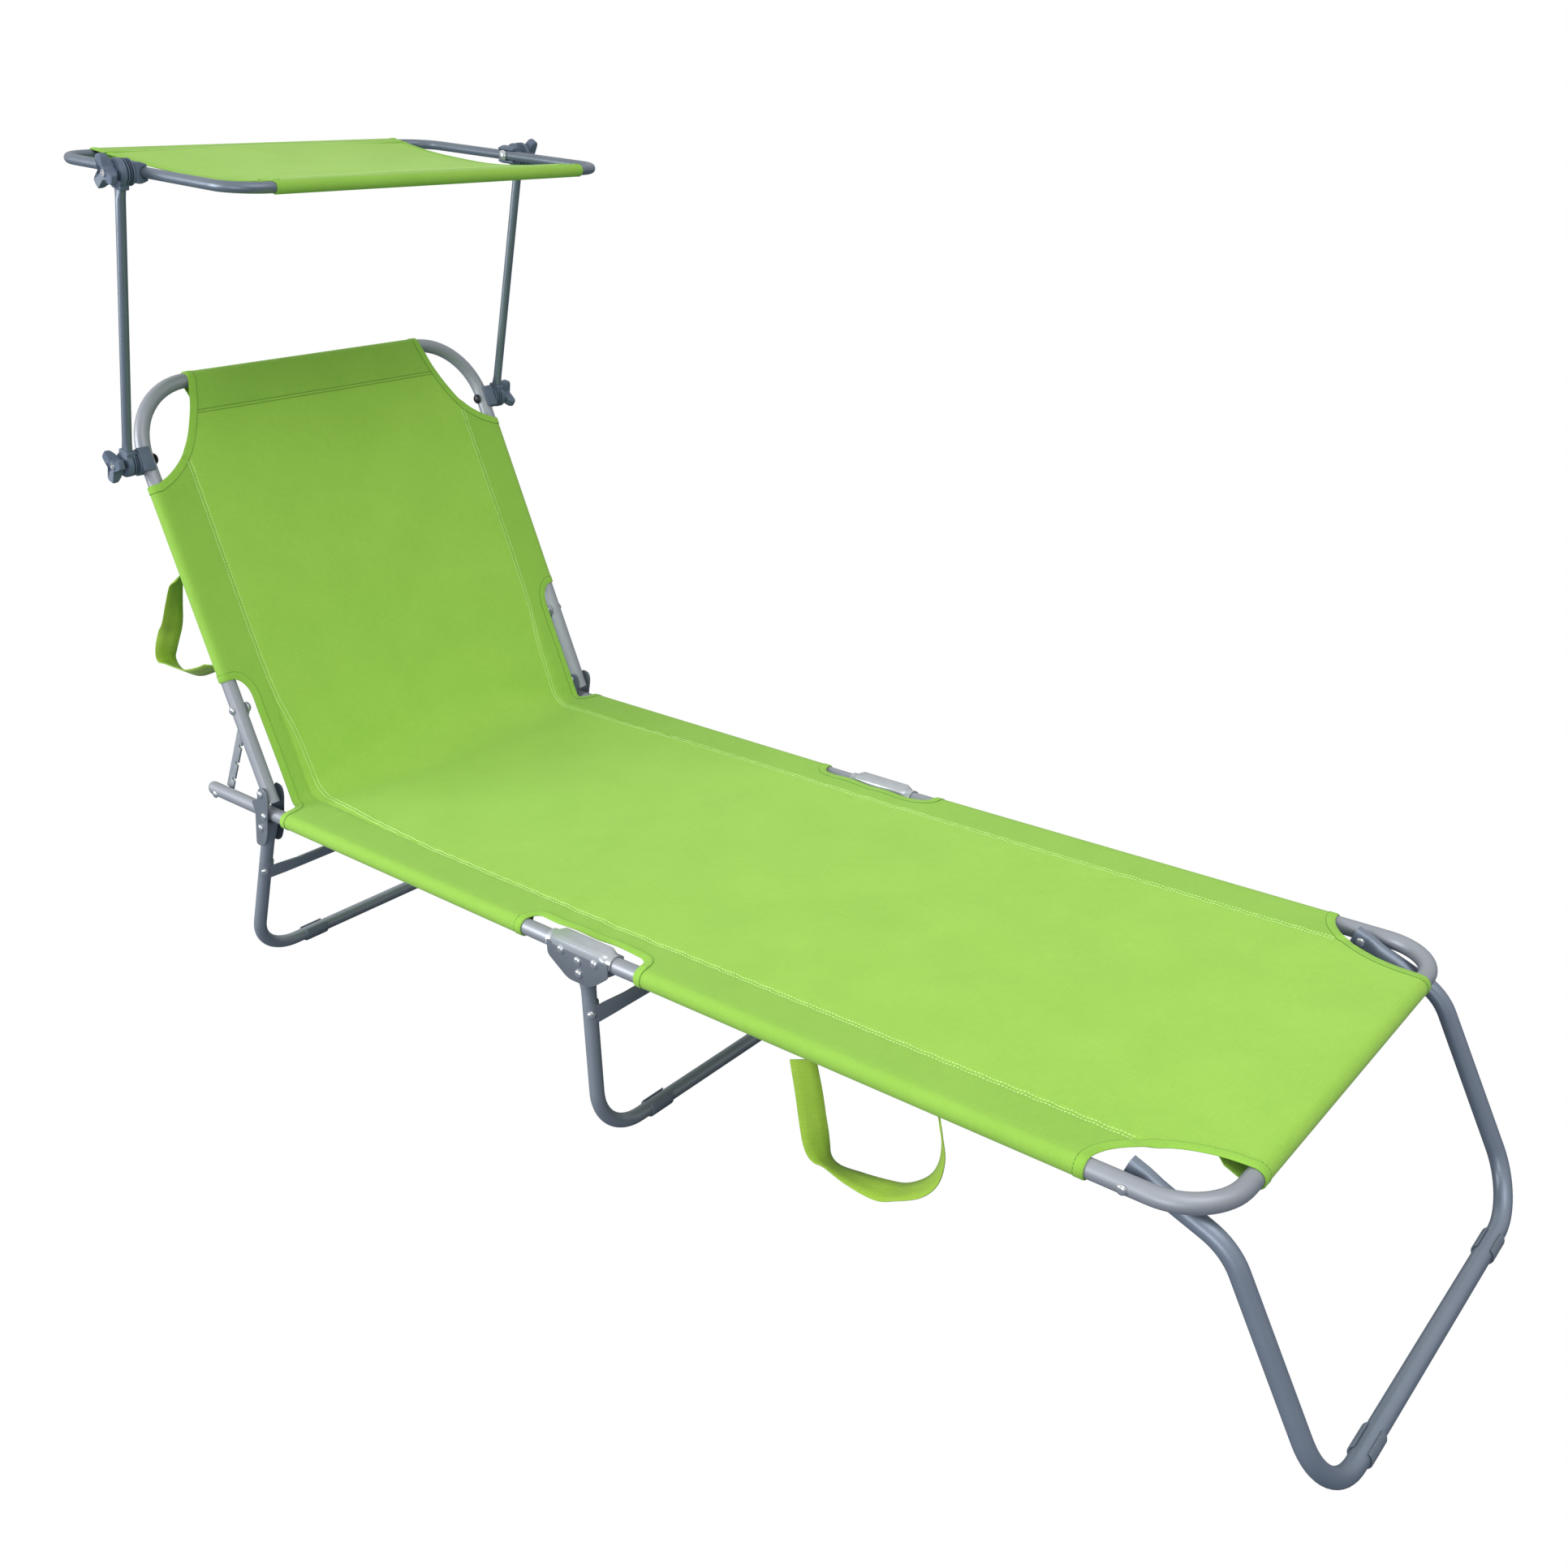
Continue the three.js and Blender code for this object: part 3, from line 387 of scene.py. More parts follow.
def softened(half_width, half_height, width_power, height_power, count):
    """A ring between an ellipse, at powers of 1, and a rectangle, at low powers."""
    ring = []
    for k in range(count):
        c, s = turned(1, 2 * math.pi * k / count)
        ring.append((half_width * math.copysign(abs(c) ** width_power, c),
                     half_height * math.copysign(abs(s) ** height_power, s)))
    return ring


# Mesh helpers
def link_object(name, mesh):
    made = bpy.data.objects.new(name, mesh)
    bpy.context.scene.collection.objects.link(made)
    return made


def smooth(mesh, sharp_angle):
    mesh.polygons.foreach_set("use_smooth", [True] * len(mesh.polygons))
    mesh.set_sharp_from_angle(angle=math.radians(sharp_angle))


def mesh_object(name, verts, faces, material, smooth_angle=40, closed=True, uv=None):
    """An object from its points and faces. A closed one gets its faces turned outwards."""
    mesh = bpy.data.meshes.new(name)
    mesh.from_pydata([tuple(v) for v in verts], [], [tuple(f) for f in faces])
    if uv is not None:
        layer = mesh.uv_layers.new(name="UVMap")
        index = np.zeros(len(mesh.loops), np.int32)
        mesh.loops.foreach_get("vertex_index", index)
        layer.data.foreach_set("uv", np.asarray(uv, np.float32)[index].ravel())
    if closed:
        shell = bmesh.new()
        shell.from_mesh(mesh)
        bmesh.ops.recalc_face_normals(shell, faces=shell.faces)
        shell.to_mesh(mesh)
        shell.free()
    smooth(mesh, smooth_angle)
    mesh.materials.append(PAINT[material])
    return link_object(name, mesh)


def band_faces(rows, count):
    """The faces between rows of points, where each row is a closed ring of count points."""
    faces = []
    for i in range(rows - 1):
        for k in range(count):
            after = (k + 1) % count
            faces.append((i * count + k, i * count + after, (i + 1) * count + after, (i + 1) * count + k))
    return faces


def loft_faces(rows, count):
    """The same bands, closed by a flat face at each end."""
    last = (rows - 1) * count
    return band_faces(rows, count) + [tuple(range(count)), tuple(last + k for k in range(count))]


def plain(piece):
    """Applies the piece's modifiers."""
    bpy.context.view_layer.update()
    graph = bpy.context.evaluated_depsgraph_get()
    mesh = bpy.data.meshes.new_from_object(piece.evaluated_get(graph))
    piece.modifiers.clear()
    piece.data = mesh
    return piece


def soften_edges(piece, width, angle=30):
    """Rounds the edges that turn by more than the angle."""
    bevel = piece.modifiers.new("bevel", "BEVEL")
    bevel.width = width
    bevel.segments = 2
    bevel.limit_method = "ANGLE"
    bevel.angle_limit = math.radians(angle)
    return plain(piece)


def place_piece(piece, body, slot_name, *nodes):
    """Puts the piece on its body and hides the CAD nodes that it stands for; slot_name is not used."""
    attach(piece, body)
    if nodes:
        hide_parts(*nodes)
    return piece


# Tubes
def bent_line(corners, radii, turn_step=math.radians(6)):
    """Stations (point, direction) along straight runs that are joined by round bends."""
    corners = [Vector(c) for c in corners]
    stations = [(corners[0], (corners[1] - corners[0]).normalized())]
    for before, corner, after, radius in zip(corners, corners[1:], corners[2:], radii):
        arrive = (corner - before).normalized()
        leave = (after - corner).normalized()
        turn = arrive.angle(leave)
        inward = (leave - arrive * leave.dot(arrive)).normalized()
        start = corner - arrive * radius * math.tan(turn / 2)
        centre = start + inward * radius
        steps = max(2, math.ceil(turn / turn_step))
        for i in range(steps + 1):
            angle = turn * i / steps
            point = centre - inward * radius * math.cos(angle) + arrive * radius * math.sin(angle)
            stations.append((point, arrive * math.cos(angle) + inward * math.sin(angle)))
    stations.append((corners[-1], (corners[-1] - corners[-2]).normalized()))
    return stations


STRAIGHT_TURN = 1e-3       # two directions that differ by less are one straight run


def fill_runs(stations, step=40 * MM):
    """Adds stations to the long straight runs."""
    full = [stations[0]]
    for (a, way_a), (b, way_b) in zip(stations, stations[1:]):
        straight = (way_b - way_a).length < STRAIGHT_TURN
        count = int((b - a).length / step) if straight else 0
        full += [(a.lerp(b, (i + 1) / (count + 1)), way_a) for i in range(count)]
        full.append((b, way_b))
    return full


TUBE_WALL = 1.2 * MM
END_RECESS = 14 * MM       # how deep an open tube end is hollow


def sweep(name, stations, ring_at, side, material, wall=TUBE_WALL):
    """A tube through the stations. ring_at(i) gives the section's offsets (a, b); a wall opens its ends."""
    across = Vector(side)
    frames = []
    for point, along in stations:
        across = (across - along * across.dot(along)).normalized()
        frames.append((point, along, across, along.cross(across)))

    def ring(i, shrink=1, push=0):
        point, along, a, b = frames[i]
        return [point + along * push + a * u * shrink + b * v * shrink for u, v in ring_at(i)]

    def hollow(i, push):
        widest = max(math.hypot(u, v) for u, v in ring_at(i))
        return ring(i, 1 - wall / widest, push)

    rings = [ring(i) for i in range(len(frames))]
    if wall:
        rings = [hollow(0, END_RECESS), hollow(0, 0)] + rings + [hollow(-1, 0), hollow(-1, -END_RECESS)]
    verts = [p for one in rings for p in one]
    return mesh_object(name, verts, loft_faces(len(rings), len(rings[0])), material)


def circle(radius, sides=28):
    return [turned(radius, 2 * math.pi * k / sides) for k in range(sides)]


def pipe(name, corners, radii, radius, side, material, **more):
    stations = fill_runs(bent_line(corners, radii))
    ring = circle(radius)
    return sweep(name, stations, lambda i: ring, side, material, **more)


POINTED_R = 0.01 * MM      # the smallest radius of a turned profile


def lathe(name, profile, centre, axis, material, sides=28):
    """Turns a profile of (distance along axis, radius) round the axis through centre."""
    axis = Vector(axis).normalized()
    a = axis.orthogonal().normalized()
    b = axis.cross(a)
    verts = []
    for along, radius in profile:
        reach = max(radius, POINTED_R)
        verts += [Vector(centre) + axis * along + a * u + b * v for u, v in circle(reach, sides)]
    return mesh_object(name, verts, loft_faces(len(profile), sides), material, 35)


def prism(name, outline, y_edges, material, bevel, plane=None):
    """A plate between two y edges. Its outline is in the side view (x, z), or in a section's (along, out)."""
    def spot(p, y):
        return plane.at(p[0], y, p[1]) if plane else Vector((p[0], y, p[1]))

    count = len(outline)
    low, high = sorted(y_edges)
    verts = [spot(p, low) for p in outline] + [spot(p, high) for p in outline]
    return soften_edges(mesh_object(name, verts, loft_faces(2, count), material, 30), bevel)


def arc(radius, start, end, count=8):
    """Points on an arc about zero, angles in degrees."""
    return [turned(radius, math.radians(start + (end - start) * i / count)) for i in range(count + 1)]


CORNER_LIMIT_SHARE = 0.45  # how much of an edge a rounded corner may use


def rounded(points, radius, steps=4):
    """An outline with its corners rounded; radius is one value or one for each corner."""
    result = []
    count = len(points)
    for i, point in enumerate(points):
        size = radius[i] if isinstance(radius, (list, tuple)) else radius
        corner = Vector((point[0], point[1], 0))
        before = Vector((*points[i - 1], 0)) - corner
        after = Vector((*points[(i + 1) % count], 0)) - corner
        reach = min(size, before.length * CORNER_LIMIT_SHARE, after.length * CORNER_LIMIT_SHARE)
        start = corner + before.normalized() * reach
        end = corner + after.normalized() * reach
        for k in range(steps + 1):
            t = k / steps
            spot = start * (1 - t) ** 2 + corner * 2 * t * (1 - t) + end * t ** 2
            result.append((spot.x, spot.y))
    return result


def joined(name, pieces):
    """Makes one object of several; each keeps its own material and the layout of its cloth."""
    verts, faces, slots, materials, corners = [], [], [], [], []
    for piece in pieces:
        first = len(verts)
        verts += [v.co.copy() for v in piece.data.vertices]
        flat = piece.data.uv_layers.active
        corners += [tuple(c.uv) for c in flat.data] if flat else [(0, 0)] * len(piece.data.loops)
        material = piece.data.materials[0]
        if material not in materials:
            materials.append(material)
        for face in piece.data.polygons:
            faces.append([first + k for k in face.vertices])
            slots.append(materials.index(material))
    made = mesh_object(name, verts, faces, "rail", 35, closed=False)
    layer = made.data.uv_layers.new(name="UVMap")
    layer.data.foreach_set("uv", [value for corner in corners for value in corner])
    made.data.materials.clear()
    for material in materials:
        made.data.materials.append(material)
    made.data.polygons.foreach_set("material_index", slots)
    for piece in pieces:
        bpy.data.objects.remove(piece)
    return made


# What repeats, such as rivet heads and stitches, is set on points by Geometry Nodes
def point_cloud(name, spots, facing, lying):
    cloud = bpy.data.meshes.new(name)
    cloud.from_pydata([tuple(s) for s in spots], [], [])
    for word, ways in (("facing", facing), ("lying", lying)):
        layer = cloud.attributes.new(word, "FLOAT_VECTOR", "POINT")
        layer.data.foreach_set("vector", [value for way in ways for value in way])
    return cloud


def set_on_points(name, shape, spots, facing, material, lying=None):
    """The shape at each spot, with its z along facing and its x along lying."""
    made = link_object(name, point_cloud(name, spots, facing, lying or [(1, 0, 0)] * len(spots)))
    group = bpy.data.node_groups.new(name + "_nodes", "GeometryNodeTree")
    group.interface.new_socket("Geometry", in_out="INPUT", socket_type="NodeSocketGeometry")
    shape_input = group.interface.new_socket("Shape", in_out="INPUT", socket_type="NodeSocketObject")
    group.interface.new_socket("Geometry", in_out="OUTPUT", socket_type="NodeSocketGeometry")
    start = node(group, "NodeGroupInput")
    info = node(group, "GeometryNodeObjectInfo", Object=start.outputs["Shape"])
    ways = [
        node(group, "GeometryNodeInputNamedAttribute", {"data_type": "FLOAT_VECTOR"}, Name=word).outputs[0]
        for word in ("facing", "lying")
    ]
    axes = {"primary_axis": "Z", "secondary_axis": "X"}
    upright = node(group, "FunctionNodeAxesToRotation", axes, i0=ways[0], i1=ways[1])
    points = node(
        group, "GeometryNodeInstanceOnPoints",
        Points=start.outputs["Geometry"],
        Instance=info.outputs["Geometry"],
        Rotation=upright.outputs[0],
    )
    solid = node(group, "GeometryNodeRealizeInstances", Geometry=points.outputs[0])
    coloured = node(group, "GeometryNodeSetMaterial", Geometry=solid.outputs[0], Material=PAINT[material])
    node(group, "NodeGroupOutput", Geometry=coloured.outputs[0])
    added = made.modifiers.new("nodes", "NODES")
    added.node_group = group
    added[shape_input.identifier] = shape
    plain(made)
    made.data.materials.clear()
    made.data.materials.append(PAINT[material])
    bpy.data.objects.remove(shape)
    return made


# Rivets: domed heads of bright steel, one mesh for each body
RIVET_R = 5.3 * MM
RIVET_HEIGHT = 3.0 * MM
RIVET_SHARES = [
    (-0.2, 0.604), (0, 0.981), (0.233, 1), (0.5, 0.925), (0.767, 0.736), (0.933, 0.453), (1, 0.151),
]


def heads_on(name, spots, facing):
    profile = scaled(RIVET_SHARES, RIVET_HEIGHT, RIVET_R)
    shape = lathe("rivet_head_shape", profile, (0, 0, 0), (0, 0, 1), "bright", 20)
    made = set_on_points(name, shape, spots, facing, "bright")
    smooth(made.data, 35)
    return made


def rivets(name, body, spots, *nodes):
    """spots are (x, z, y of the head's seat, -1 or 1 for the way it faces)."""
    places = [(x, y, z) for x, z, y, way in spots]
    facing = [(0, way, 0) for x, z, y, way in spots]
    return place_piece(heads_on(name, places, facing), body, "rivet_steel", *nodes)


def pairs(*names):
    return [f"{name}_{word}" for name in names for word, side in SIDES]


def plate_edges(side, way):
    """The two faces of the plate beside a rail: way is -1 or 1, towards -y or +y of the rail."""
    return side * RAIL_Y + way * PLATE_IN, side * RAIL_Y + way * PLATE_OUT


def plate_heads(x, z):
    """A rivet's heads on both plates of both rails."""
    return [(x, z, side * RAIL_Y + way * PLATE_OUT, way) for word, side in SIDES for way in (-1, 1)]


# Seat rails: closed and domed behind the hinge, open inside the middle brackets
DOME_DEGREES = (8, 25, 42, 58, 74, 90)
STUB_PINCH = 40 * MM
STUB_PINCH_SHARE = 0.22


def tube_profile(radius, rear, front):
    """A straight tube: rounded over and closed at its rear, open and hollow at its front."""
    inner = radius - TUBE_WALL
    dome = []
    for degrees in DOME_DEGREES:
        inward, out = turned(radius, math.radians(degrees))
        dome.append((rear + radius - inward, out))
    return dome + [(front, radius), (front, inner), (front - END_RECESS, inner)]


def add_rails():
    for word, side in SIDES:
        middle = side * RAIL_Y
        profile = tube_profile(RAIL_R, SEAT_REAR, SEAT_FRONT)
        rail = lathe(f"rail_{word}", profile, (X_ZERO, middle, RAIL_Z), (1, 0, 0), "rail", 36)
        # The closed end is pinched a little flat, from side to side
        for vertex in rail.data.vertices:
            share = (X_ZERO + SEAT_REAR + STUB_PINCH - vertex.co.x) / STUB_PINCH
            if share > 0:
                pinch = STUB_PINCH_SHARE * min(share, 1) ** 1.5
                vertex.co.y = middle + (vertex.co.y - middle) * (1 - pinch)
        place_piece(rail, "frame", "rail_paint", f"seat_rail_{word}")


# Hinge plates: one on each side of a rail
HINGE_REAR = -31 * MM
HINGE_LOW = 207 * MM
HINGE_WIDTH = 40.5 * MM
HINGE_HEIGHT = 88 * MM
HINGE_SHARES = [
    (0, 0), (0.309, 0), (0.531, 0.068), (0.716, 0.239), (1, 0.841), (0.951, 0.972),
    (0.593, 1), (0.444, 0.875), (0.407, 0.784), (0.123, 0.75), (0.074, 0.682), (0.198, 0.568),
]
HINGE_ROUND = 20 * MM
HINGE_ROUND_SHARES = (0.5, 0.5, 0.4, 1, 0.6, 0.45, 0.45, 0.45, 0.2, 0.25, 0.25, 0.6)
HINGE_EDGE = 0.5 * MM


def add_hinges():
    points = scaled(HINGE_SHARES, HINGE_WIDTH, HINGE_HEIGHT, X_ZERO + HINGE_REAR, HINGE_LOW)
    outline = rounded(points, [HINGE_ROUND * share for share in HINGE_ROUND_SHARES])
    for word, side in SIDES:
        # The inner plates are drawn darker than the outer ones: painted shade on the faces towards the sling
        for place, way, paint in (("outer", side, "zinc"), ("inner", -side, "shaded_zinc")):
            plate = prism(f"hinge_{place}_{word}", outline, plate_edges(side, way), paint, HINGE_EDGE)
            place_piece(plate, "frame", "zinc_plate", f"hinge_plate_{place}_{word}")


# Middle brackets: a folded roof that necks down to a collar round the tube, and a plate down each side
ROOF_REAR = 528 * MM
ROOF_LENGTH = 99 * MM
ROOF_HALF = 13.2 * MM
ROOF_HEIGHT = 14.5 * MM
ROOF_DROP = 3 * MM
ROOF_BEVEL = 5.5 * MM
NECK_HALF = 11.6 * MM
NECK_HEIGHT = 12 * MM
NECK_DROP = 1 * MM
NECK_BEVEL = 6.5 * MM
ROOF_WALL = 1.3 * MM
ROOF_BEVEL_SHARES = [(0, -1.1), (0.2, -0.5), (0.9, -0.05), (1.3, 0)]
ROOF_PLACE_SHARES = (0, 0.061, 0.076, 0.141, 0.838, 0.909, 0.924, 1)
COLLAR_DEGREES = (185, 165, 145, 125, 107, 90, 73, 55, 35, 15, -5)
BRACKET_REAR = 532 * MM
BRACKET_LENGTH = 94 * MM
BRACKET_LOW = 221 * MM
BRACKET_HEIGHT = 39 * MM
BRACKET_SHARES = [(0, 1), (0, 0.538), (0.33, 0), (0.681, 0.013), (0.809, 0.205), (1, 0.564), (1, 1)]
BRACKET_ROUND = 7 * MM
BRACKET_ROUND_SHARES = (0.07, 0.71, 1, 0.86, 0.71, 0.57, 0.07)
BRACKET_EDGE = 0.4 * MM


def roof_section(half, height, drop, bevel):
    """Half-open section over the tube: points (y, z) from one lower edge over the top to the other."""
    slope = [(-half, drop)] + scaled(ROOF_BEVEL_SHARES, bevel, bevel, -half, height)
    return slope + [(0, height)] + [(-y, z) for y, z in reversed(slope)]


def bracket_roof(side):
    """The folded top of a middle bracket: a roof with bevelled edges that necks down onto the tube."""
    full = roof_section(ROOF_HALF, ROOF_HEIGHT, ROOF_DROP, ROOF_BEVEL)
    neck = roof_section(NECK_HALF, NECK_HEIGHT, NECK_DROP, NECK_BEVEL)
    collar = [turned(NECK_HALF, math.radians(degrees)) for degrees in COLLAR_DEGREES]
    sections = (collar, collar, neck, full, full, neck, collar, collar)
    verts = []
    for share, outer in zip(ROOF_PLACE_SHARES, sections):
        x = X_ZERO + ROOF_REAR + ROOF_LENGTH * share
        inner = []
        for y, z in reversed(outer):
            shrink = 1 - ROOF_WALL / math.hypot(y, z)
            inner.append((y * shrink, z * shrink))
        verts += [(x, side * RAIL_Y + y, RAIL_Z + z) for y, z in outer + inner]
    count = len(collar) * 2
    last = (len(sections) - 1) * count
    faces = band_faces(len(sections), count)
    for k in range(len(collar) - 1):
        for first in (0, last):
            faces.append((first + k, first + k + 1, first + count - 2 - k, first + count - 1 - k))
    # The roof is paler than its own side plates: painted highlight on the top of the folded sheet
    return mesh_object(f"bracket_roof_{side}", verts, faces, "pale_zinc_and_highlight", 28)


def add_brackets():
    points = scaled(BRACKET_SHARES, BRACKET_LENGTH, BRACKET_HEIGHT, X_ZERO + BRACKET_REAR, BRACKET_LOW)
    outline = rounded(points, [BRACKET_ROUND * share for share in BRACKET_ROUND_SHARES])
    for word, side in SIDES:
        parts = [bracket_roof(side)]
        for way in (-1, 1):
            parts.append(prism(f"bracket_side_{way}", outline, plate_edges(side, way), "zinc", BRACKET_EDGE))
        place_piece(joined(f"bracket_{word}", parts), "frame", "zinc_plate", f"mid_bracket_{word}")


# Rivets on the frame: across the hinge plates, the brackets and the rails' closed ends
HINGE_RIVET_X = -4 * MM
BRACKET_RIVET_X = 554 * MM
BRACKET_RIVET_RISE = 0.4 * MM
LOW_RIVET_X = 580 * MM
LOW_RIVET_Z = 249 * MM
STUB_RIVET_X = -126 * MM
STUB_RIVET_DROP = 3.5 * MM
STUB_HALF = 6.8 * MM


def add_frame_rivets():
    spots = plate_heads(X_ZERO + HINGE_RIVET_X, RAIL_Z)
    spots += plate_heads(X_ZERO + BRACKET_RIVET_X, RAIL_Z + BRACKET_RIVET_RISE)
    spots += plate_heads(X_ZERO + LOW_RIVET_X, LOW_RIVET_Z)
    for word, side in SIDES:
        for way in (-1, 1):
            seat = side * RAIL_Y + way * STUB_HALF
            spots.append((X_ZERO + STUB_RIVET_X, RAIL_Z - STUB_RIVET_DROP, seat, way))
    rivets("frame_rivets", "frame", spots, *pairs("hinge_rail_rivet", "bracket_rail_rivet"))


add_rails()
add_hinges()
add_brackets()
add_frame_rivets()


# Backrest frame and foot frame: a U of tube each, whose ends run a heel's length past the pivots
BACK_HEEL = 15.5 * MM
FOOT_HEEL = 5 * MM


def u_tube(name, section, heel, length, corner):
    ends = ((-heel, -RAIL_Y), (length, -RAIL_Y), (length, RAIL_Y), (-heel, RAIL_Y))
    line = [section.at(along, y, 0) for along, y in ends]
    return pipe(name, line, [corner, corner], RAIL_R, (0, 1, 0), "rail")


def add_backrest_frame():
    tube = u_tube("backrest_tube", BACK, BACK_HEEL, BACK_LENGTH, BACK_CORNER)
    place_piece(tube, "backrest", "rail_paint", "backrest_frame")
    rivets("backrest_rivets", "backrest", plate_heads(HINGE.x, HINGE.z), *pairs("backrest_pivot_rivet"))


def add_foot_frame():
    tube = u_tube("foot_tube", FOOT, FOOT_HEEL, FOOT_LENGTH, FOOT_CORNER)
    place_piece(tube, "foot_section", "rail_paint", "foot_frame")
    rivets("foot_rivets", "foot_section", plate_heads(MID.x, MID.z), *pairs("foot_pivot_rivet"))


# Recline struts: a flat bar with three notches in its foot-side edge and a flange along the other
STRUT_LEAN = math.radians(27)
STRUT_LENGTH = 148 * MM
STRUT_HALF = 6.6 * MM
STRUT_HALF_THICK = 1.5 * MM
STRUT_GAP = 1.8 * MM
STRUT_EDGE = 0.4 * MM
NOTCH_SHARES = (0.459, 0.669, 0.872)
NOTCH_HALF = 2.5 * MM
NOTCH_DEPTH = 5 * MM
FLANGE_START = 22 * MM
FLANGE_THICK = 1.4 * MM
FLANGE_DEPTH = 5 * MM
FLANGE_EDGE = 0.3 * MM
WASHER_R = 6.5 * MM
WASHER_HOLE_R = 3 * MM
WASHER_THICK = 1 * MM
OUTER_HEAD_SINK = 0.4 * MM


def strut_outline():
    """The bar from its round top, down the notched edge and up the plain one."""
    outline = arc(STRUT_HALF, 180, 360, 10)
    floor = STRUT_HALF - NOTCH_DEPTH
    for share in NOTCH_SHARES:
        top, low = STRUT_LENGTH * share - NOTCH_HALF, STRUT_LENGTH * share + NOTCH_HALF
        outline += [(STRUT_HALF, top), (floor, top), (floor, low), (STRUT_HALF, low)]
    return outline + [(STRUT_HALF, STRUT_LENGTH), (-STRUT_HALF, STRUT_LENGTH)]


def flange_outline():
    inner = FLANGE_THICK - STRUT_HALF
    return [(-STRUT_HALF, FLANGE_START), (-STRUT_HALF, STRUT_LENGTH),
            (inner, STRUT_LENGTH), (inner, FLANGE_START)]


def add_struts():
    down = (-math.sin(STRUT_LEAN), 0, -math.cos(STRUT_LEAN))
    across = (math.cos(STRUT_LEAN), 0, -math.sin(STRUT_LEAN))
    washer_profile = [(0, WASHER_HOLE_R), (0, WASHER_R),
                      (WASHER_THICK, WASHER_R), (WASHER_THICK, WASHER_HOLE_R)]
    for word, side in SIDES:
        pivot = JOINT[f"strut_{word}_swing"]
        plane = Section(pivot, across, down)
        middle = side * (RAIL_Y - RAIL_R - STRUT_GAP)
        inner = middle - side * STRUT_HALF_THICK
        edges = (middle - STRUT_HALF_THICK, middle + STRUT_HALF_THICK)
        bar = prism(f"strut_bar_{word}", strut_outline(), edges, "pale_zinc_and_highlight", STRUT_EDGE, plane)
        edges = (inner, inner - side * FLANGE_DEPTH)
        flange = prism(f"strut_flange_{word}", flange_outline(), edges, "pale_zinc_and_highlight", FLANGE_EDGE, plane)
        seat = (pivot.x, inner, pivot.z)
        washer = lathe(f"strut_washer_{word}", washer_profile, seat, (0, -side, 0), "zinc")
        strut = joined(f"strut_{word}", [bar, flange, washer])
        place_piece(strut, f"strut_{word}", "zinc_plate", f"recline_strut_{word}")
        spots = [(pivot.x, pivot.z, side * (RAIL_Y + RAIL_R - OUTER_HEAD_SINK), side),
                 (pivot.x, pivot.z, inner - side * WASHER_THICK, -side)]
        rivets(f"strut_rivets_{word}", f"strut_{word}", spots)


add_backrest_frame()
add_struts()
add_foot_frame()


# Legs: the tops of their tubes are pressed flat about the rivets
LEG_HEEL = 8 * MM
LEG_PRESSED = 40 * MM
LEG_TOP_SHARES = (0.004, 0.025, 0.0625, 0.125, 0.2, 0.35, 0.5, 0.65, 0.825, 1)
LEG_ROUND_FROM = 38 * MM
LEG_PRESS_START = 12 * MM
LEG_PRESS_END = 36 * MM
LEG_TOP_HALF_WIDE = 10.6 * MM
LEG_TOP_HALF_DEEP = 8 * MM
TUBE_SIDES = 28
TOP_END_SHARE = 0.02       # the square of how thick the very end of a rounded top stays


def pressed_stations(corners, radii, pressed, top_shares):
    """A bent line with fine stations down both of its ends."""
    stations = bent_line(corners, radii)
    first, last = stations[0], stations[-1]
    head = [(first[0] + first[1] * pressed * share, first[1]) for share in top_shares]
    tail = [(last[0] - last[1] * pressed * share, last[1]) for share in reversed(top_shares)]
    return fill_runs(head + stations[1:-1] + tail)


def from_end(stations, i):
    """How far the station is from the nearer end of the line."""
    return min((stations[i][0] - stations[0][0]).length, (stations[i][0] - stations[-1][0]).length)


def u_leg(name, plane, length):
    """A U of tube whose two tops are pressed flat and rounded about their rivets."""
    ends = ((-LEG_HEEL, -RAIL_Y), (length, -RAIL_Y), (length, RAIL_Y), (-LEG_HEEL, RAIL_Y))
    corners = [plane.at(along, y, 0) for along, y in ends]
    stations = pressed_stations(corners, [LEG_CORNER, LEG_CORNER], LEG_PRESSED, LEG_TOP_SHARES)

    def ring(i):
        drop = from_end(stations, i)
        if drop > LEG_ROUND_FROM:
            return circle(LEG_R)
        press = ease(drop, LEG_PRESS_START, LEG_PRESS_END)
        wide = LEG_TOP_HALF_WIDE + (LEG_R - LEG_TOP_HALF_WIDE) * press
        deep = LEG_TOP_HALF_DEEP + (LEG_R - LEG_TOP_HALF_DEEP) * press
        if drop < LEG_HEEL:
            over = 1 - drop / LEG_HEEL
            deep = LEG_TOP_HALF_DEEP * math.sqrt(max(1 - over ** 2, TOP_END_SHARE))
        power = 0.5 + 0.5 * press
        return softened(wide, deep, power, power, TUBE_SIDES)

    return sweep(name, stations, ring, (0, 1, 0), "leg", wall=0)


# Braces: a tube pressed flat into a bar across a leg, between two saddles bent round the leg's front
SADDLE_GAP = 0.2 * MM
SADDLE_OUT = 1.7 * MM
SADDLE_HEIGHT = 24 * MM
SADDLE_REACH = math.radians(92)
SADDLE_STEPS = 12
BRACE_STANDOFF = 1.8 * MM
BRACE_END_GAP = 1 * MM
BRACE_TAPER = 66 * MM
BRACE_HALF_THIN = 2.6 * MM
BRACE_HALF_TALL = 11 * MM
BRACE_SHARES = [(0, 0.308, 1), (0.136, 0.385, 1), (0.333, 0.692, 0.927), (0.606, 1, 0.818), (1, 1, 0.818)]
BRACE_SIDES = 16
HEAD_OUT_SHARE = 0.8       # a brace rivet faces mostly forward, and the rest of the way outwards
HEAD_SIDE_SHARE = 0.6


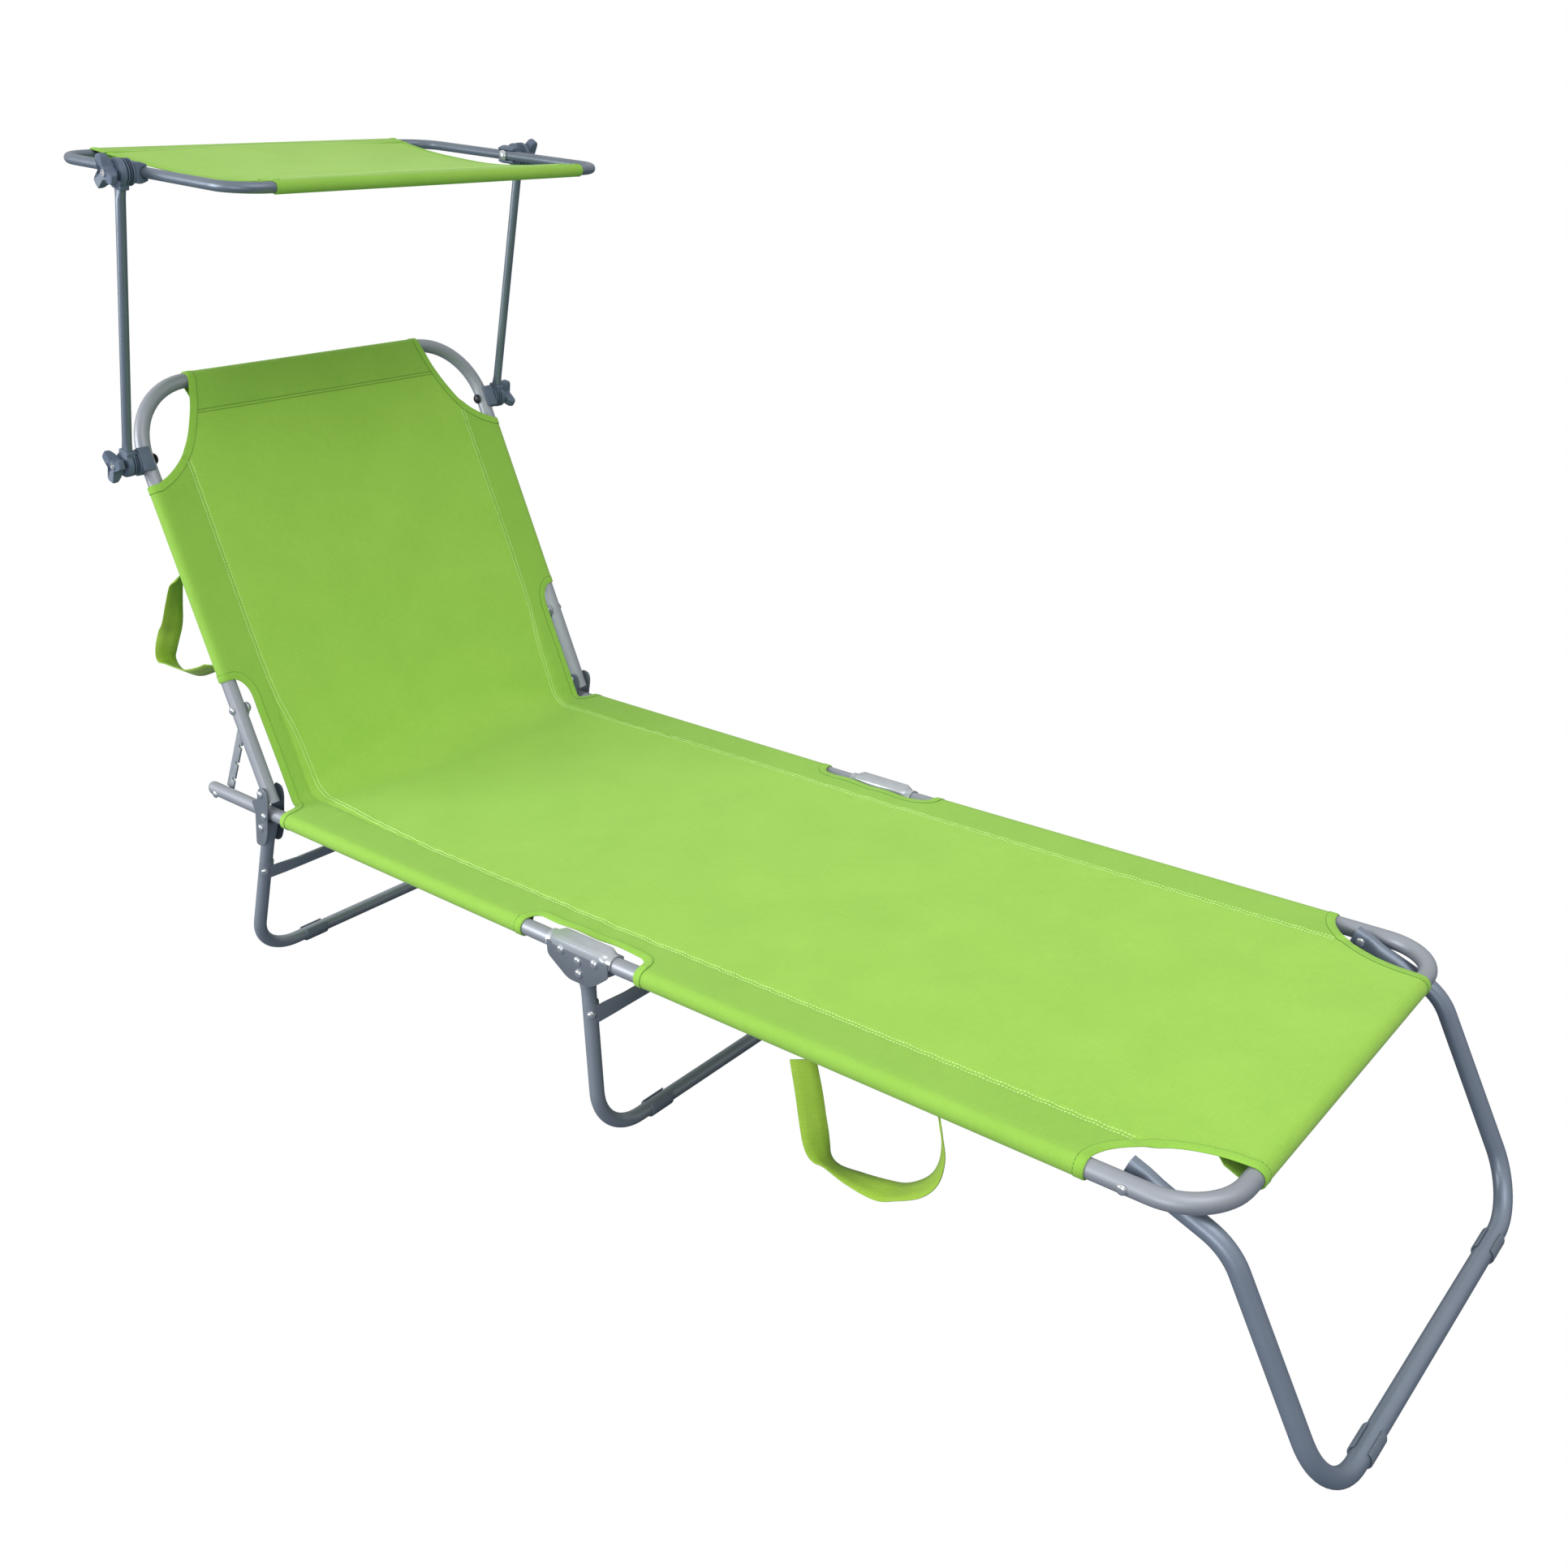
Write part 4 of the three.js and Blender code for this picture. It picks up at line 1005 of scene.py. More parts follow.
def saddle_plate(plane, drop, y):
    """A thin plate bent round the leg's front."""
    section = []
    steps = range(SADDLE_STEPS + 1)
    for size, order in ((LEG_R + SADDLE_OUT, steps), (LEG_R + SADDLE_GAP, reversed(steps))):
        for i in order:
            forward, aside = turned(size, SADDLE_REACH * (2 * i / SADDLE_STEPS - 1))
            section.append((aside, forward))
    count = len(section)
    verts = []
    for along in (drop - SADDLE_HEIGHT / 2, drop + SADDLE_HEIGHT / 2):
        verts += [plane.at(along, y + a, b) for a, b in section]
    faces = band_faces(2, count)
    for first in (0, count):
        faces += [(first + i, first + i + 1, first + count - 2 - i, first + count - 1 - i)
                  for i in range(SADDLE_STEPS)]
    return mesh_object("saddle_plate", verts, faces, "leg", 30)


def flat_bar(plane, drop):
    """The bar itself, thinnest and tallest at its ends, which reach onto the saddles."""
    reach = RAIL_Y - BRACE_END_GAP
    half = [(reach - BRACE_TAPER * in_share, BRACE_HALF_THIN * thin, BRACE_HALF_TALL * tall)
            for in_share, thin, tall in BRACE_SHARES]
    stations = [(-y, thin, tall) for y, thin, tall in half] + list(reversed(half))
    verts = []
    for y, thin, tall in stations:
        middle = LEG_R + BRACE_STANDOFF + thin
        for up, out in softened(tall, thin, 0.45, 0.7, BRACE_SIDES):
            verts.append(plane.at(drop + up, y, middle + out))
    return mesh_object("flat_bar", verts, loft_faces(len(stations), BRACE_SIDES), "leg", 35)


def brace_heads(name, plane, drop):
    """A rivet's head on the front of each saddle, turned outwards with it."""
    seat = LEG_R + SADDLE_OUT
    heads, facing = [], []
    for word, side in SIDES:
        heads.append(plane.at(drop, side * (RAIL_Y + HEAD_SIDE_SHARE * seat), HEAD_OUT_SHARE * seat))
        facing.append(plane.out * HEAD_OUT_SHARE + Vector((0, side * HEAD_SIDE_SHARE, 0)))
    return heads_on(name, heads, facing)


def add_leg(name, pivot, floor_place, brace_z):
    """A folding U leg. Its plane is measured down the leg from the pivot, and out towards the foot end."""
    top = Vector((pivot.x, 0, pivot.z))
    run = Vector((X_ZERO + floor_place, 0, FLOOR_BAR_Z)) - top
    down = run.normalized()
    plane = Section(top, down, (-down.z, 0, down.x))
    place_piece(u_leg(f"{name}_u", plane, run.length), name, "leg_paint", f"{name}_tube")
    drop = (pivot.z - brace_z) / abs(down.z)
    parts = [flat_bar(plane, drop)] + [saddle_plate(plane, drop, side * RAIL_Y) for word, side in SIDES]
    place_piece(joined(f"{name}_bar", parts), name, "leg_paint", f"{name}_brace")
    place_piece(brace_heads(f"{name}_brace_heads", plane, drop), name, "rivet_steel")
    rivets(f"{name}_rivets", name, plate_heads(pivot.x, pivot.z), *pairs(f"{name}_rivet"))


# Foot leg: a U that bends back at its elbows, between the foot frame's tubes
FOOT_LEG_GAP = 0.3 * MM
FOOT_LEG_Y = RAIL_Y - 2 * RAIL_R - FOOT_LEG_GAP
ELBOW_X = 1321.5 * MM
ELBOW_Z = 228 * MM
ELBOW_R = 60 * MM
FOOT_LEG_HEEL = 10 * MM
FOOT_LEG_WALL = 0.9 * MM
FOOT_LEG_PRESSED = 38 * MM
FOOT_LEG_TOP_SHARES = (0.003, 0.211, 0.421, 0.579, 0.789, 1)
FOOT_LEG_ROUND_FROM = 36 * MM
FOOT_LEG_PRESS_START = 14 * MM
FOOT_LEG_PRESS_END = 34 * MM
FOOT_LEG_HALF_THIN = 6 * MM
FOOT_LEG_HALF_TALL = 11 * MM
INNER_HEAD_SEAT = 5.9 * MM


def add_foot_leg():
    pivot = JOINT["foot_leg_fold"]
    elbow = Vector((X_ZERO + ELBOW_X, 0, ELBOW_Z))
    floor = Vector((X_ZERO + FOOT_FLOOR, 0, FLOOR_BAR_Z))
    run = [pivot + (pivot - elbow).normalized() * FOOT_LEG_HEEL, elbow, floor]
    near, far = Vector((0, -FOOT_LEG_Y, 0)), Vector((0, FOOT_LEG_Y, 0))
    corners = [p + near for p in run] + [p + far for p in reversed(run)]
    radii = [ELBOW_R, LEG_CORNER, LEG_CORNER, ELBOW_R]
    stations = pressed_stations(corners, radii, FOOT_LEG_PRESSED, FOOT_LEG_TOP_SHARES)

    def ring(i):
        drop = from_end(stations, i)
        if drop > FOOT_LEG_ROUND_FROM:
            return circle(RAIL_R)
        press = ease(drop, FOOT_LEG_PRESS_START, FOOT_LEG_PRESS_END)
        thin = FOOT_LEG_HALF_THIN + (RAIL_R - FOOT_LEG_HALF_THIN) * press
        tall = FOOT_LEG_HALF_TALL + (RAIL_R - FOOT_LEG_HALF_TALL) * press
        power = 0.35 + 0.65 * press
        return softened(thin, tall, power, power, TUBE_SIDES)

    # The foot leg's darker blue-grey paint is painted shade
    tube = sweep("foot_leg_u", stations, ring, (0, 1, 0), "foot_leg", wall=FOOT_LEG_WALL)
    place_piece(tube, "foot_leg", "leg_paint", "foot_leg_tube")
    spots = []
    for word, side in SIDES:
        spots.append((pivot.x, pivot.z, side * (RAIL_Y + RAIL_R - OUTER_HEAD_SINK), side))
        spots.append((pivot.x, pivot.z, side * (FOOT_LEG_Y - INNER_HEAD_SEAT), -side))
    rivets("foot_leg_rivets", "foot_leg", spots)


# Glides: nylon clips pressed onto the floor bars, open on top, thicker and flat where they stand
GLIDE_GAP = 0.3 * MM
GLIDE_OUT = 2.3 * MM
GLIDE_HALF = 17 * MM
GLIDE_EDGE = 0.5 * MM
GLIDE_MOUTH = 52           # degrees from level at which the clip's lips end
GLIDE_STEPS = 40
LEG_GLIDE_Y = 183 * MM
FOOT_GLIDE_Y = 168 * MM


def glide_clip(name, x, y, bar):
    lips = GLIDE_MOUTH, -180 - GLIDE_MOUTH
    outside = arc(bar + GLIDE_OUT, lips[0], lips[1], GLIDE_STEPS)
    bore = arc(bar + GLIDE_GAP, lips[1], lips[0], GLIDE_STEPS)
    section = [(a, max(b, -FLOOR_BAR_Z)) for a, b in outside] + bore
    outline = [(x + a, FLOOR_BAR_Z + b) for a, b in section]
    return prism(name, outline, (y - GLIDE_HALF, y + GLIDE_HALF), "glide", GLIDE_EDGE)


def add_glides():
    for name, place, y, bar in (
        ("head_leg", HEAD_FLOOR, LEG_GLIDE_Y, LEG_R),
        ("mid_leg", MID_FLOOR, LEG_GLIDE_Y, LEG_R),
        ("foot_leg", FOOT_FLOOR, FOOT_GLIDE_Y, RAIL_R),
    ):
        for word, side in SIDES:
            clip = glide_clip(f"{name}_clip_{word}", X_ZERO + place, side * y, bar)
            place_piece(clip, name, "glide_plastic", f"{name}_glide_{word}")


HEAD_BRACE_Z = 165 * MM
MID_BRACE_Z = 181 * MM

add_leg("head_leg", JOINT["head_leg_fold"], HEAD_FLOOR, HEAD_BRACE_Z)
add_leg("mid_leg", JOINT["mid_leg_fold"], MID_FLOOR, MID_BRACE_Z)
add_glides()
add_foot_leg()


# Canopy arms: round tubes, pressed flat at both ends where the hubs hold them
ARM_Y = HUB_Y + HUB_DEPTH / 2
ARM_R = 5.9 * MM
ARM_HALF_WIDE = 7.4 * MM
ARM_HALF_THIN = 4.4 * MM
ARM_PRESS_START = 17 * MM
ARM_PRESS_END = 31 * MM
ARM_END_PLACES = (5 * MM, 8 * MM, 15 * MM, 21 * MM, 30 * MM, 60 * MM)
ARM_MIDDLE_SHARES = (0.3, 0.5, 0.7)
ARM_SIDES = 24


def add_arms():
    along = (UPPER - LOWER).normalized()
    length = (UPPER - LOWER).length
    places = list(ARM_END_PLACES)
    places += [length * share for share in ARM_MIDDLE_SHARES]
    places += [length - place for place in reversed(ARM_END_PLACES)]

    def ring(i):
        press = ease(min(places[i], length - places[i]), ARM_PRESS_START, ARM_PRESS_END)
        thin = ARM_HALF_THIN + (ARM_R - ARM_HALF_THIN) * press
        wide = ARM_HALF_WIDE + (ARM_R - ARM_HALF_WIDE) * press
        power = 0.5 + 0.5 * press
        return softened(thin, wide, power, power, ARM_SIDES)

    for word, side in SIDES:
        base = Vector((LOWER.x, side * ARM_Y, LOWER.z))
        stations = [(base + along * place, along) for place in places]
        arm = sweep(f"arm_{word}", stations, ring, (0, 1, 0), "arm", wall=0)
        place_piece(arm, "canopy_arms", "arm_paint", f"canopy_arm_{word}")


# Canopy frame: one tube bent into a rectangle, its ends meeting in the middle of the rear run
CANOPY_JOINT_HALF = 0.3 * MM


def add_canopy_frame():
    line = [(-CANOPY_REAR, -CANOPY_JOINT_HALF), (-CANOPY_REAR, -CANOPY_Y), (CANOPY_FRONT, -CANOPY_Y),
            (CANOPY_FRONT, CANOPY_Y), (-CANOPY_REAR, CANOPY_Y), (-CANOPY_REAR, CANOPY_JOINT_HALF)]
    corners = [CANOPY.at(along, y, 0) for along, y in line]
    tube = pipe("canopy_tube", corners, [CANOPY_CORNER] * 4, CANOPY_R, CANOPY.out, "arm", wall=0)
    place_piece(tube, "canopy", "arm_paint", "canopy_frame")


add_arms()
add_canopy_frame()


# Clamp saddles: a block that wraps the outer half of the tube, and a toothed friction disc on its face
SADDLE_HALF = 15 * MM
LOWER_SADDLE_TALL = 13.5 * MM
UPPER_SADDLE_TALL = 12 * MM
GROOVE_GAP = 0.4 * MM
GROOVE_LIP = 2.4 * MM
LIP_PAST_CENTRE = 2.5 * MM
BLOCK_SHOULDER_SHARE = 0.45
BLOCK_ROUNDS = [0.8 * MM, 4 * MM, 2.4 * MM, 2.4 * MM, 4 * MM, 0.8 * MM]
BLOCK_EDGE = 1.2 * MM
BLOCK_TO_HUB = 4.2 * MM
DISC_R = 15.5 * MM
DISC_NEAR = HUB_Y - 4.1 * MM
DISC_FAR = HUB_Y - 1.6 * MM
DISC_TEETH = 48
TOOTH_DEPTH = 0.5 * MM
DISC_SHARES = [(0, 0.858), (0, 0.961), (0.2, 1), (0.8, 1), (1, 0.961), (1, 0.858)]
TOOTHED_SHARE = 0.94       # the disc is toothed where its radius is more than this share of the whole


def saddle_block(name, side, plane, tube_y, tube_radius, tall):
    groove = tube_radius + GROOVE_GAP
    lip = groove + GROOVE_LIP
    face = HUB_Y - BLOCK_TO_HUB - tube_y
    shoulder = face * BLOCK_SHOULDER_SHARE
    upper = [(-LIP_PAST_CENTRE, lip), (shoulder, tall), (face, tall)]
    lower = [(a, -b) for a, b in reversed(upper)]
    past = math.degrees(math.asin(LIP_PAST_CENTRE / groove))
    loop = rounded(upper + lower, BLOCK_ROUNDS, 3) + arc(groove, -90 - past, 90 + past, 20)
    verts = []
    for along in (-SADDLE_HALF, SADDLE_HALF):
        verts += [plane.at(along, side * (tube_y + a), b) for a, b in loop]
    return soften_edges(mesh_object(name, verts, loft_faces(2, len(loop)), "plastic", 30), BLOCK_EDGE, 50)


def toothed_disc(name, centre, side):
    profile = scaled(DISC_SHARES, DISC_FAR - DISC_NEAR, DISC_R, DISC_NEAR)
    count = DISC_TEETH * 2
    verts = []
    for y, size in profile:
        toothed = size > DISC_R * TOOTHED_SHARE
        for k in range(count):
            swing = size - (TOOTH_DEPTH if k % 2 and toothed else 0)
            x, z = turned(swing, 2 * math.pi * k / count)
            verts.append(centre + Vector((x, side * y, z)))
    return mesh_object(name, verts, loft_faces(len(profile), count), "plastic", 25)


# Hubs: a grooved disc with a short neck that grips the arm's flattened end
HUB_R = 16 * MM
HUB_SOLID = 14.8 * MM
HUB_SHARES = [
    (0, 0.887), (0.034, 0.95), (0.095, 0.963), (0.108, 0.662), (0.23, 0.662), (0.243, 0.975), (0.338, 0.975),
    (0.351, 0.725), (0.459, 0.725), (0.473, 1), (0.865, 1), (0.946, 0.95), (1, 0.812), (1, 0.25),
]
HUB_SIDES = 40
NECK_HALF_WIDE = 9.8 * MM
NECK_START = 4 * MM
NECK_END = 18.6 * MM
NECK_INSET = 1.6 * MM
NECK_ROUNDS = [1 * MM, 2.4 * MM, 2.4 * MM, 1 * MM]
NECK_EDGE = 1.2 * MM


def hub_block(name, centre, side, towards):
    middle = (centre.x, 0, centre.z)
    profile = scaled(HUB_SHARES, HUB_SOLID, HUB_R, HUB_Y)
    disc = lathe(name + "_disc", profile, middle, (0, side, 0), "plastic", HUB_SIDES)
    plane = Section(middle, (-towards.z, 0, towards.x), towards)
    corners = [(NECK_HALF_WIDE, NECK_START), (NECK_HALF_WIDE, NECK_END),
               (-NECK_HALF_WIDE, NECK_END), (-NECK_HALF_WIDE, NECK_START)]
    edges = (side * (HUB_Y + NECK_INSET), side * (HUB_Y + HUB_DEPTH - NECK_INSET))
    neck = prism(name + "_neck", rounded(corners, NECK_ROUNDS), edges, "plastic", NECK_EDGE, plane)
    return joined(name, [disc, neck])


# Knobs: three flat-ended lobes about a round waist, dished on the face, with a metal nut in the middle
KNOB_GAP = 0.4 * MM
KNOB_NEAR = HUB_Y + HUB_DEPTH + KNOB_GAP
KNOB_DEPTH = 15 * MM
KNOB_WAIST_R = 9 * MM
KNOB_R = 21.4 * MM
LOBE_HALF = 6.4 * MM
LOBE_SQUARENESS = 8
KNOB_STEPS = 96
KNOB_SHARES = [            # how far out along the bolt, and the waist and the lobes there
    (0, 0.833, 0.35), (0.067, 0.911, 0.444), (0.267, 0.956, 0.724), (0.433, 0.978, 0.916),
    (0.567, 1, 0.981), (0.84, 1, 1), (0.947, 0.933, 0.972), (1, 0.822, 0.907),
    (0.973, 0.711, 0.794), (0.827, 0.622, 0.402), (0.773, 0.556, 0.252), (0.76, 0.422, 0.182),
]
NUT_START = 11.2 * MM
NUT_DEPTH = 2.4 * MM
NUT_R = 4.6 * MM
NUT_SHARES = [(0, 1), (0.583, 1), (1, 0.848), (1, 0.565), (0.583, 0.5)]


def knob_radius(off, waist, lobe):
    """The knob's radius at an angle off the middle of a lobe."""
    if lobe <= waist:
        return waist
    ahead = (math.cos(off) / lobe) ** LOBE_SQUARENESS
    aside = (abs(math.sin(off)) / LOBE_HALF) ** LOBE_SQUARENESS
    return max(waist, (ahead + aside) ** (-1 / LOBE_SQUARENESS))


def knob_piece(name, centre, side, turn):
    third = 2 * math.pi / 3
    verts = []
    for along, waist, lobe in KNOB_SHARES:
        for k in range(KNOB_STEPS):
            angle = 2 * math.pi * k / KNOB_STEPS + turn
            off = (angle - turn + third / 2) % third - third / 2
            x, z = turned(knob_radius(off, KNOB_WAIST_R * waist, KNOB_R * lobe), angle)
            verts.append((centre.x + x, side * (KNOB_NEAR + KNOB_DEPTH * along), centre.z + z))
    body = mesh_object(name + "_body", verts, loft_faces(len(KNOB_SHARES), KNOB_STEPS), "plastic", 50)
    profile = scaled(NUT_SHARES, NUT_DEPTH, NUT_R, KNOB_NEAR + NUT_START)
    nut = lathe(name + "_nut", profile, (centre.x, 0, centre.z), (0, side, 0), "bright", 18)
    return joined(name, [body, nut])


# Bolts: a domed head on the inner side of the tube, and the shank through to the knob
BOLT_R = 3 * MM
BOLT_HEAD_R = 7 * MM
BOLT_HEAD_DEPTH = 4.2 * MM
BOLT_SEAT_GAP = 0.3 * MM
BOLT_INTO_KNOB = 6 * MM
BOLT_HEAD_SHARES = [(-1, 0.143), (-0.952, 0.429), (-0.714, 0.771), (-0.333, 0.986), (0, 1)]


def bolt_piece(name, centre, side, tube_y, tube_radius, paint):
    seat = tube_y - tube_radius - BOLT_SEAT_GAP
    profile = scaled(BOLT_HEAD_SHARES, BOLT_HEAD_DEPTH, BOLT_HEAD_R, seat)
    profile += [(seat, BOLT_R), (HUB_Y + HUB_DEPTH + BOLT_INTO_KNOB, BOLT_R)]
    return lathe(name, profile, (centre.x, 0, centre.z), (0, side, 0), paint, 24)


# The four clamps. Each knob stops where it was last turned to, as in the photograph.
LOWER_KNOB_TURNS = {"right": math.radians(12), "left": math.radians(200)}
UPPER_KNOB_TURNS = {"right": math.radians(98), "left": math.radians(60)}


def add_clamp(level, word, side, centre, body, section, tube_y, tube_radius, tall, towards, turn, bolt_paint):
    name = f"{level}_{word}"
    plane = Section((centre.x, 0, centre.z), section.along, section.out)
    block = saddle_block(f"{name}_block", side, plane, tube_y, tube_radius, tall)
    saddle = joined(f"{name}_saddle", [block, toothed_disc(f"{name}_disc", centre, side)])
    place_piece(saddle, body, "clamp_plastic", f"{level}_saddle_{word}")
    hub = hub_block(f"{name}_hub", centre, side, towards)
    place_piece(hub, "canopy_arms", "clamp_plastic", f"{level}_hub_{word}")
    knob = knob_piece(f"{name}_knob", centre, side, turn)
    place_piece(knob, f"{level}_knob_{word}", "clamp_plastic", f"{level}_knob_{word}")
    bolt = bolt_piece(f"{name}_bolt", centre, side, tube_y, tube_radius, bolt_paint)
    place_piece(bolt, body, "bolt_black", f"{level}_bolt_{word}")


def add_clamps():
    arm_up = (UPPER - LOWER).normalized()
    for word, side in SIDES:
        add_clamp("lower", word, side, LOWER, "backrest", BACK, RAIL_Y, RAIL_R, LOWER_SADDLE_TALL,
                  arm_up, LOWER_KNOB_TURNS[word], "bolt")
        add_clamp("upper", word, side, UPPER, "canopy", CANOPY, CANOPY_Y, CANOPY_R, UPPER_SADDLE_TALL,
                  -arm_up, UPPER_KNOB_TURNS[word], "bright")


add_clamps()


# Cloth: drawn flat in (u, v), u along the lounger from its fold and v from its middle, then laid on the frame
SLING_R = 10.5 * MM
CANOPY_SLING_R = 7.3 * MM
SIDE_SEAM_BACK = 50 * MM
END_SEAM_BACK = 46 * MM
CANOPY_SEAM_BACK = 30 * MM
SEAM_TUCK = 1.9 * MM
FOLD_R = (RAIL_Z - HINGE.z + SLING_R * (1 - BACK.out.z)) / BACK.along.z
FOLD_X = BACK.at(FOLD_R, 0, SLING_R).x - X_ZERO


class Sleeve:
    """Cloth wrapped round a tube and sewn to its own underside. Distances w start at the tube's top."""

    def __init__(self, radius, back):
        self.radius = radius
        seam = Vector((-back, radius - SEAM_TUCK))
        reach = math.acos(radius / seam.length)
        turn = 2.5 * math.pi - (math.atan2(seam.y, seam.x) + reach)
        self.wrap = radius * turn
        self.leave = Vector(turned(radius, math.pi / 2 - turn))
        self.tail = seam - self.leave
        self.length = self.wrap + self.tail.length

    def at(self, w):
        """Offset outwards from the tube's centre, and up."""
        if w <= self.wrap:
            return turned(self.radius, math.pi / 2 - w / self.radius)
        spot = self.leave + self.tail * (w - self.wrap) / self.tail.length
        return spot.x, spot.y


SIDE_SLEEVE = Sleeve(SLING_R, SIDE_SEAM_BACK)
END_SLEEVE = Sleeve(SLING_R, END_SEAM_BACK)
CANOPY_SLEEVE = Sleeve(CANOPY_SLING_R, CANOPY_SEAM_BACK)


def u_back(station):
    """u of a place on the backrest, measured up from its hinge."""
    return FOLD_R - station


def u_seat(place):
    """u of a place on the seat or the foot section, measured from the hinge plates' middle."""
    return place - FOLD_X


U_TOP = u_back(BACK_LENGTH)
U_MID = u_seat(MID.x - X_ZERO)
U_END = U_MID + FOOT_LENGTH
V_TUBE = RAIL_Y
V_WRAP = V_TUBE + SIDE_SLEEVE.wrap
V_HEM = V_TUBE + SIDE_SLEEVE.length
TOP_EDGE = U_TOP - END_SLEEVE.length
END_EDGE = U_END + END_SLEEVE.length

# How the stretched sling lies: its sag between the rails, and the seams' pucker and groove
SAG = 5 * MM
SAG_FROM_TOP = 120 * MM
SAG_FROM_FOOT = 140 * MM
FOLD_TAUT = 60 * MM
FOLD_SLACK = 130 * MM
SEAM_IN = 224 * MM
SEAM_OUT = 229 * MM
PUCKER = 0.5 * MM
PUCKER_V = 226 * MM
PUCKER_WIDTH = 11 * MM
PUCKER_PITCH = 27 * MM
PUCKER_WANDER = 17         # radians for each metre
GROOVE = 0.9 * MM
GROOVE_WIDTH = 3.2 * MM

# The cloth is looser beside its middle cut-outs, and nowhere quite flat
RIPPLE = 0.7 * MM
RIPPLE_PITCH = 61 * MM
RIPPLE_FROM_V = 150 * MM
RIPPLE_FULL_V = 246 * MM
RIPPLE_BEFORE_MID = 25 * MM
RIPPLE_NEAR = 70 * MM
RIPPLE_FAR = 130 * MM
RIPPLE_PHASE_RIGHT = 1.1
RIPPLE_PHASE_LEFT = 2.3
DRIFT = 0.5 * MM
DRIFT_LONG_WAVES = (23, 9)      # radians for each metre, along and across
DRIFT_CROSS_WAVES = (-7, 31)

# Where the backrest's cloth turns into the seat: a wide curve in the middle, a tight one at the cut-outs
FOLD_EDGE_R = 5 * MM
FOLD_EXTRA_R = 95 * MM
HINGE_HALF = 256 * MM      # the cloth's half width between the hinges


def bell(value, width):
    return math.exp(-(value / width) ** 2)


def sling_height(u, v):
    """How high the cloth lies over the tubes' centres: it sags a little and puckers at its seams."""
    across = max(1 - (v / V_TUBE) ** 2, 0)
    ends = ease(u, U_TOP, U_TOP + SAG_FROM_TOP) * (1 - ease(u, U_END - SAG_FROM_FOOT, U_END))
    sag = SAG * across * ends * ease(abs(u), FOLD_TAUT, FOLD_SLACK)
    swing = math.sin(u * 2 * math.pi / PUCKER_PITCH + 2 * math.sin(u * PUCKER_WANDER))
    pucker = PUCKER * bell(abs(v) - PUCKER_V, PUCKER_WIDTH) * swing * ends
    groove = GROOVE * bell(abs(v) - (SEAM_IN + SEAM_OUT) / 2, GROOVE_WIDTH)
    near_mid = 1 - ease(abs(u - U_MID + RIPPLE_BEFORE_MID), RIPPLE_NEAR, RIPPLE_FAR)
    slack = ease(abs(v), RIPPLE_FROM_V, RIPPLE_FULL_V) * near_mid
    phase = RIPPLE_PHASE_RIGHT if v < 0 else RIPPLE_PHASE_LEFT
    ripple = RIPPLE * slack * math.sin((u - U_MID) * 2 * math.pi / RIPPLE_PITCH + phase)
    waves = [math.sin(u * along + v * aside) for along, aside in (DRIFT_LONG_WAVES, DRIFT_CROSS_WAVES)]
    return SLING_R - sag + pucker - groove + ripple + DRIFT * across * waves[0] * waves[1]


def sling_point(u, v):
    """Where the sling's pattern point (u, v) lies on the lounger."""
    y, height = v, sling_height(u, v)
    if abs(v) > V_TUBE:
        out, height = SIDE_SLEEVE.at(abs(v) - V_TUBE)
        y = math.copysign(V_TUBE + out, v)
    if u < U_TOP:
        out, height = END_SLEEVE.at(U_TOP - u)
        return BACK.at(BACK_LENGTH + out, y, height)
    if u > U_END:
        out, height = END_SLEEVE.at(u - U_END)
        return FOOT.at(FOOT_LENGTH + out, y, height)
    size = FOLD_EDGE_R + FOLD_EXTRA_R * max(1 - (v / HINGE_HALF) ** 2, 0)
    reach = size * math.tan(BACK_TURN / 2)
    if abs(u) < reach:
        centre = BACK.at(FOLD_R + reach, y, SLING_R) + BACK.out * size
        angle = BACK_TURN * (u + reach) / (2 * reach)
        normal = BACK.out * math.cos(angle) + BACK.along * math.sin(angle)
        return centre - normal * (size - (height - SLING_R))
    if u < 0:
        return BACK.at(FOLD_R - u, y, height)
    if u < U_MID:
        return SEAT.at(FOLD_X + u, y, height)
    return FOOT.at(u - U_MID, y, height)


CANOPY_SAG = 5 * MM
CANOPY_EDGE_SAG = 8.5 * MM
CANOPY_EDGE_HALF = 216 * MM
CANOPY_RIPPLE = 0.8 * MM
CANOPY_WAVES = 42          # radians for each metre across
CANOPY_WANDER = 11         # radians for each metre along


def canopy_point(u, v):
    """The canopy's cloth: u runs from the rear tube to the front one, and the cloth sags between them."""
    if u < -CANOPY_REAR:
        out, height = CANOPY_SLEEVE.at(-CANOPY_REAR - u)
        return CANOPY.at(-CANOPY_REAR - out, v, height)
    if u > CANOPY_FRONT:
        out, height = CANOPY_SLEEVE.at(u - CANOPY_FRONT)
        return CANOPY.at(CANOPY_FRONT + out, v, height)
    belly = math.sin(math.pi * (u + CANOPY_REAR) / (CANOPY_REAR + CANOPY_FRONT))
    sag = (CANOPY_SAG + CANOPY_EDGE_SAG * (v / CANOPY_EDGE_HALF) ** 2) * max(belly, 0)
    ripple = CANOPY_RIPPLE * belly * math.sin(v * CANOPY_WAVES + 3 * math.sin(u * CANOPY_WANDER))
    return CANOPY.at(u, v, CANOPY_SLING_R - sag + ripple)


NORMAL_STEP = 0.4 * MM


def normal_at(point_at, u, v):
    along = point_at(u + NORMAL_STEP, v) - point_at(u - NORMAL_STEP, v)
    across = point_at(u, v + NORMAL_STEP) - point_at(u, v - NORMAL_STEP)
    return along.cross(across).normalized()


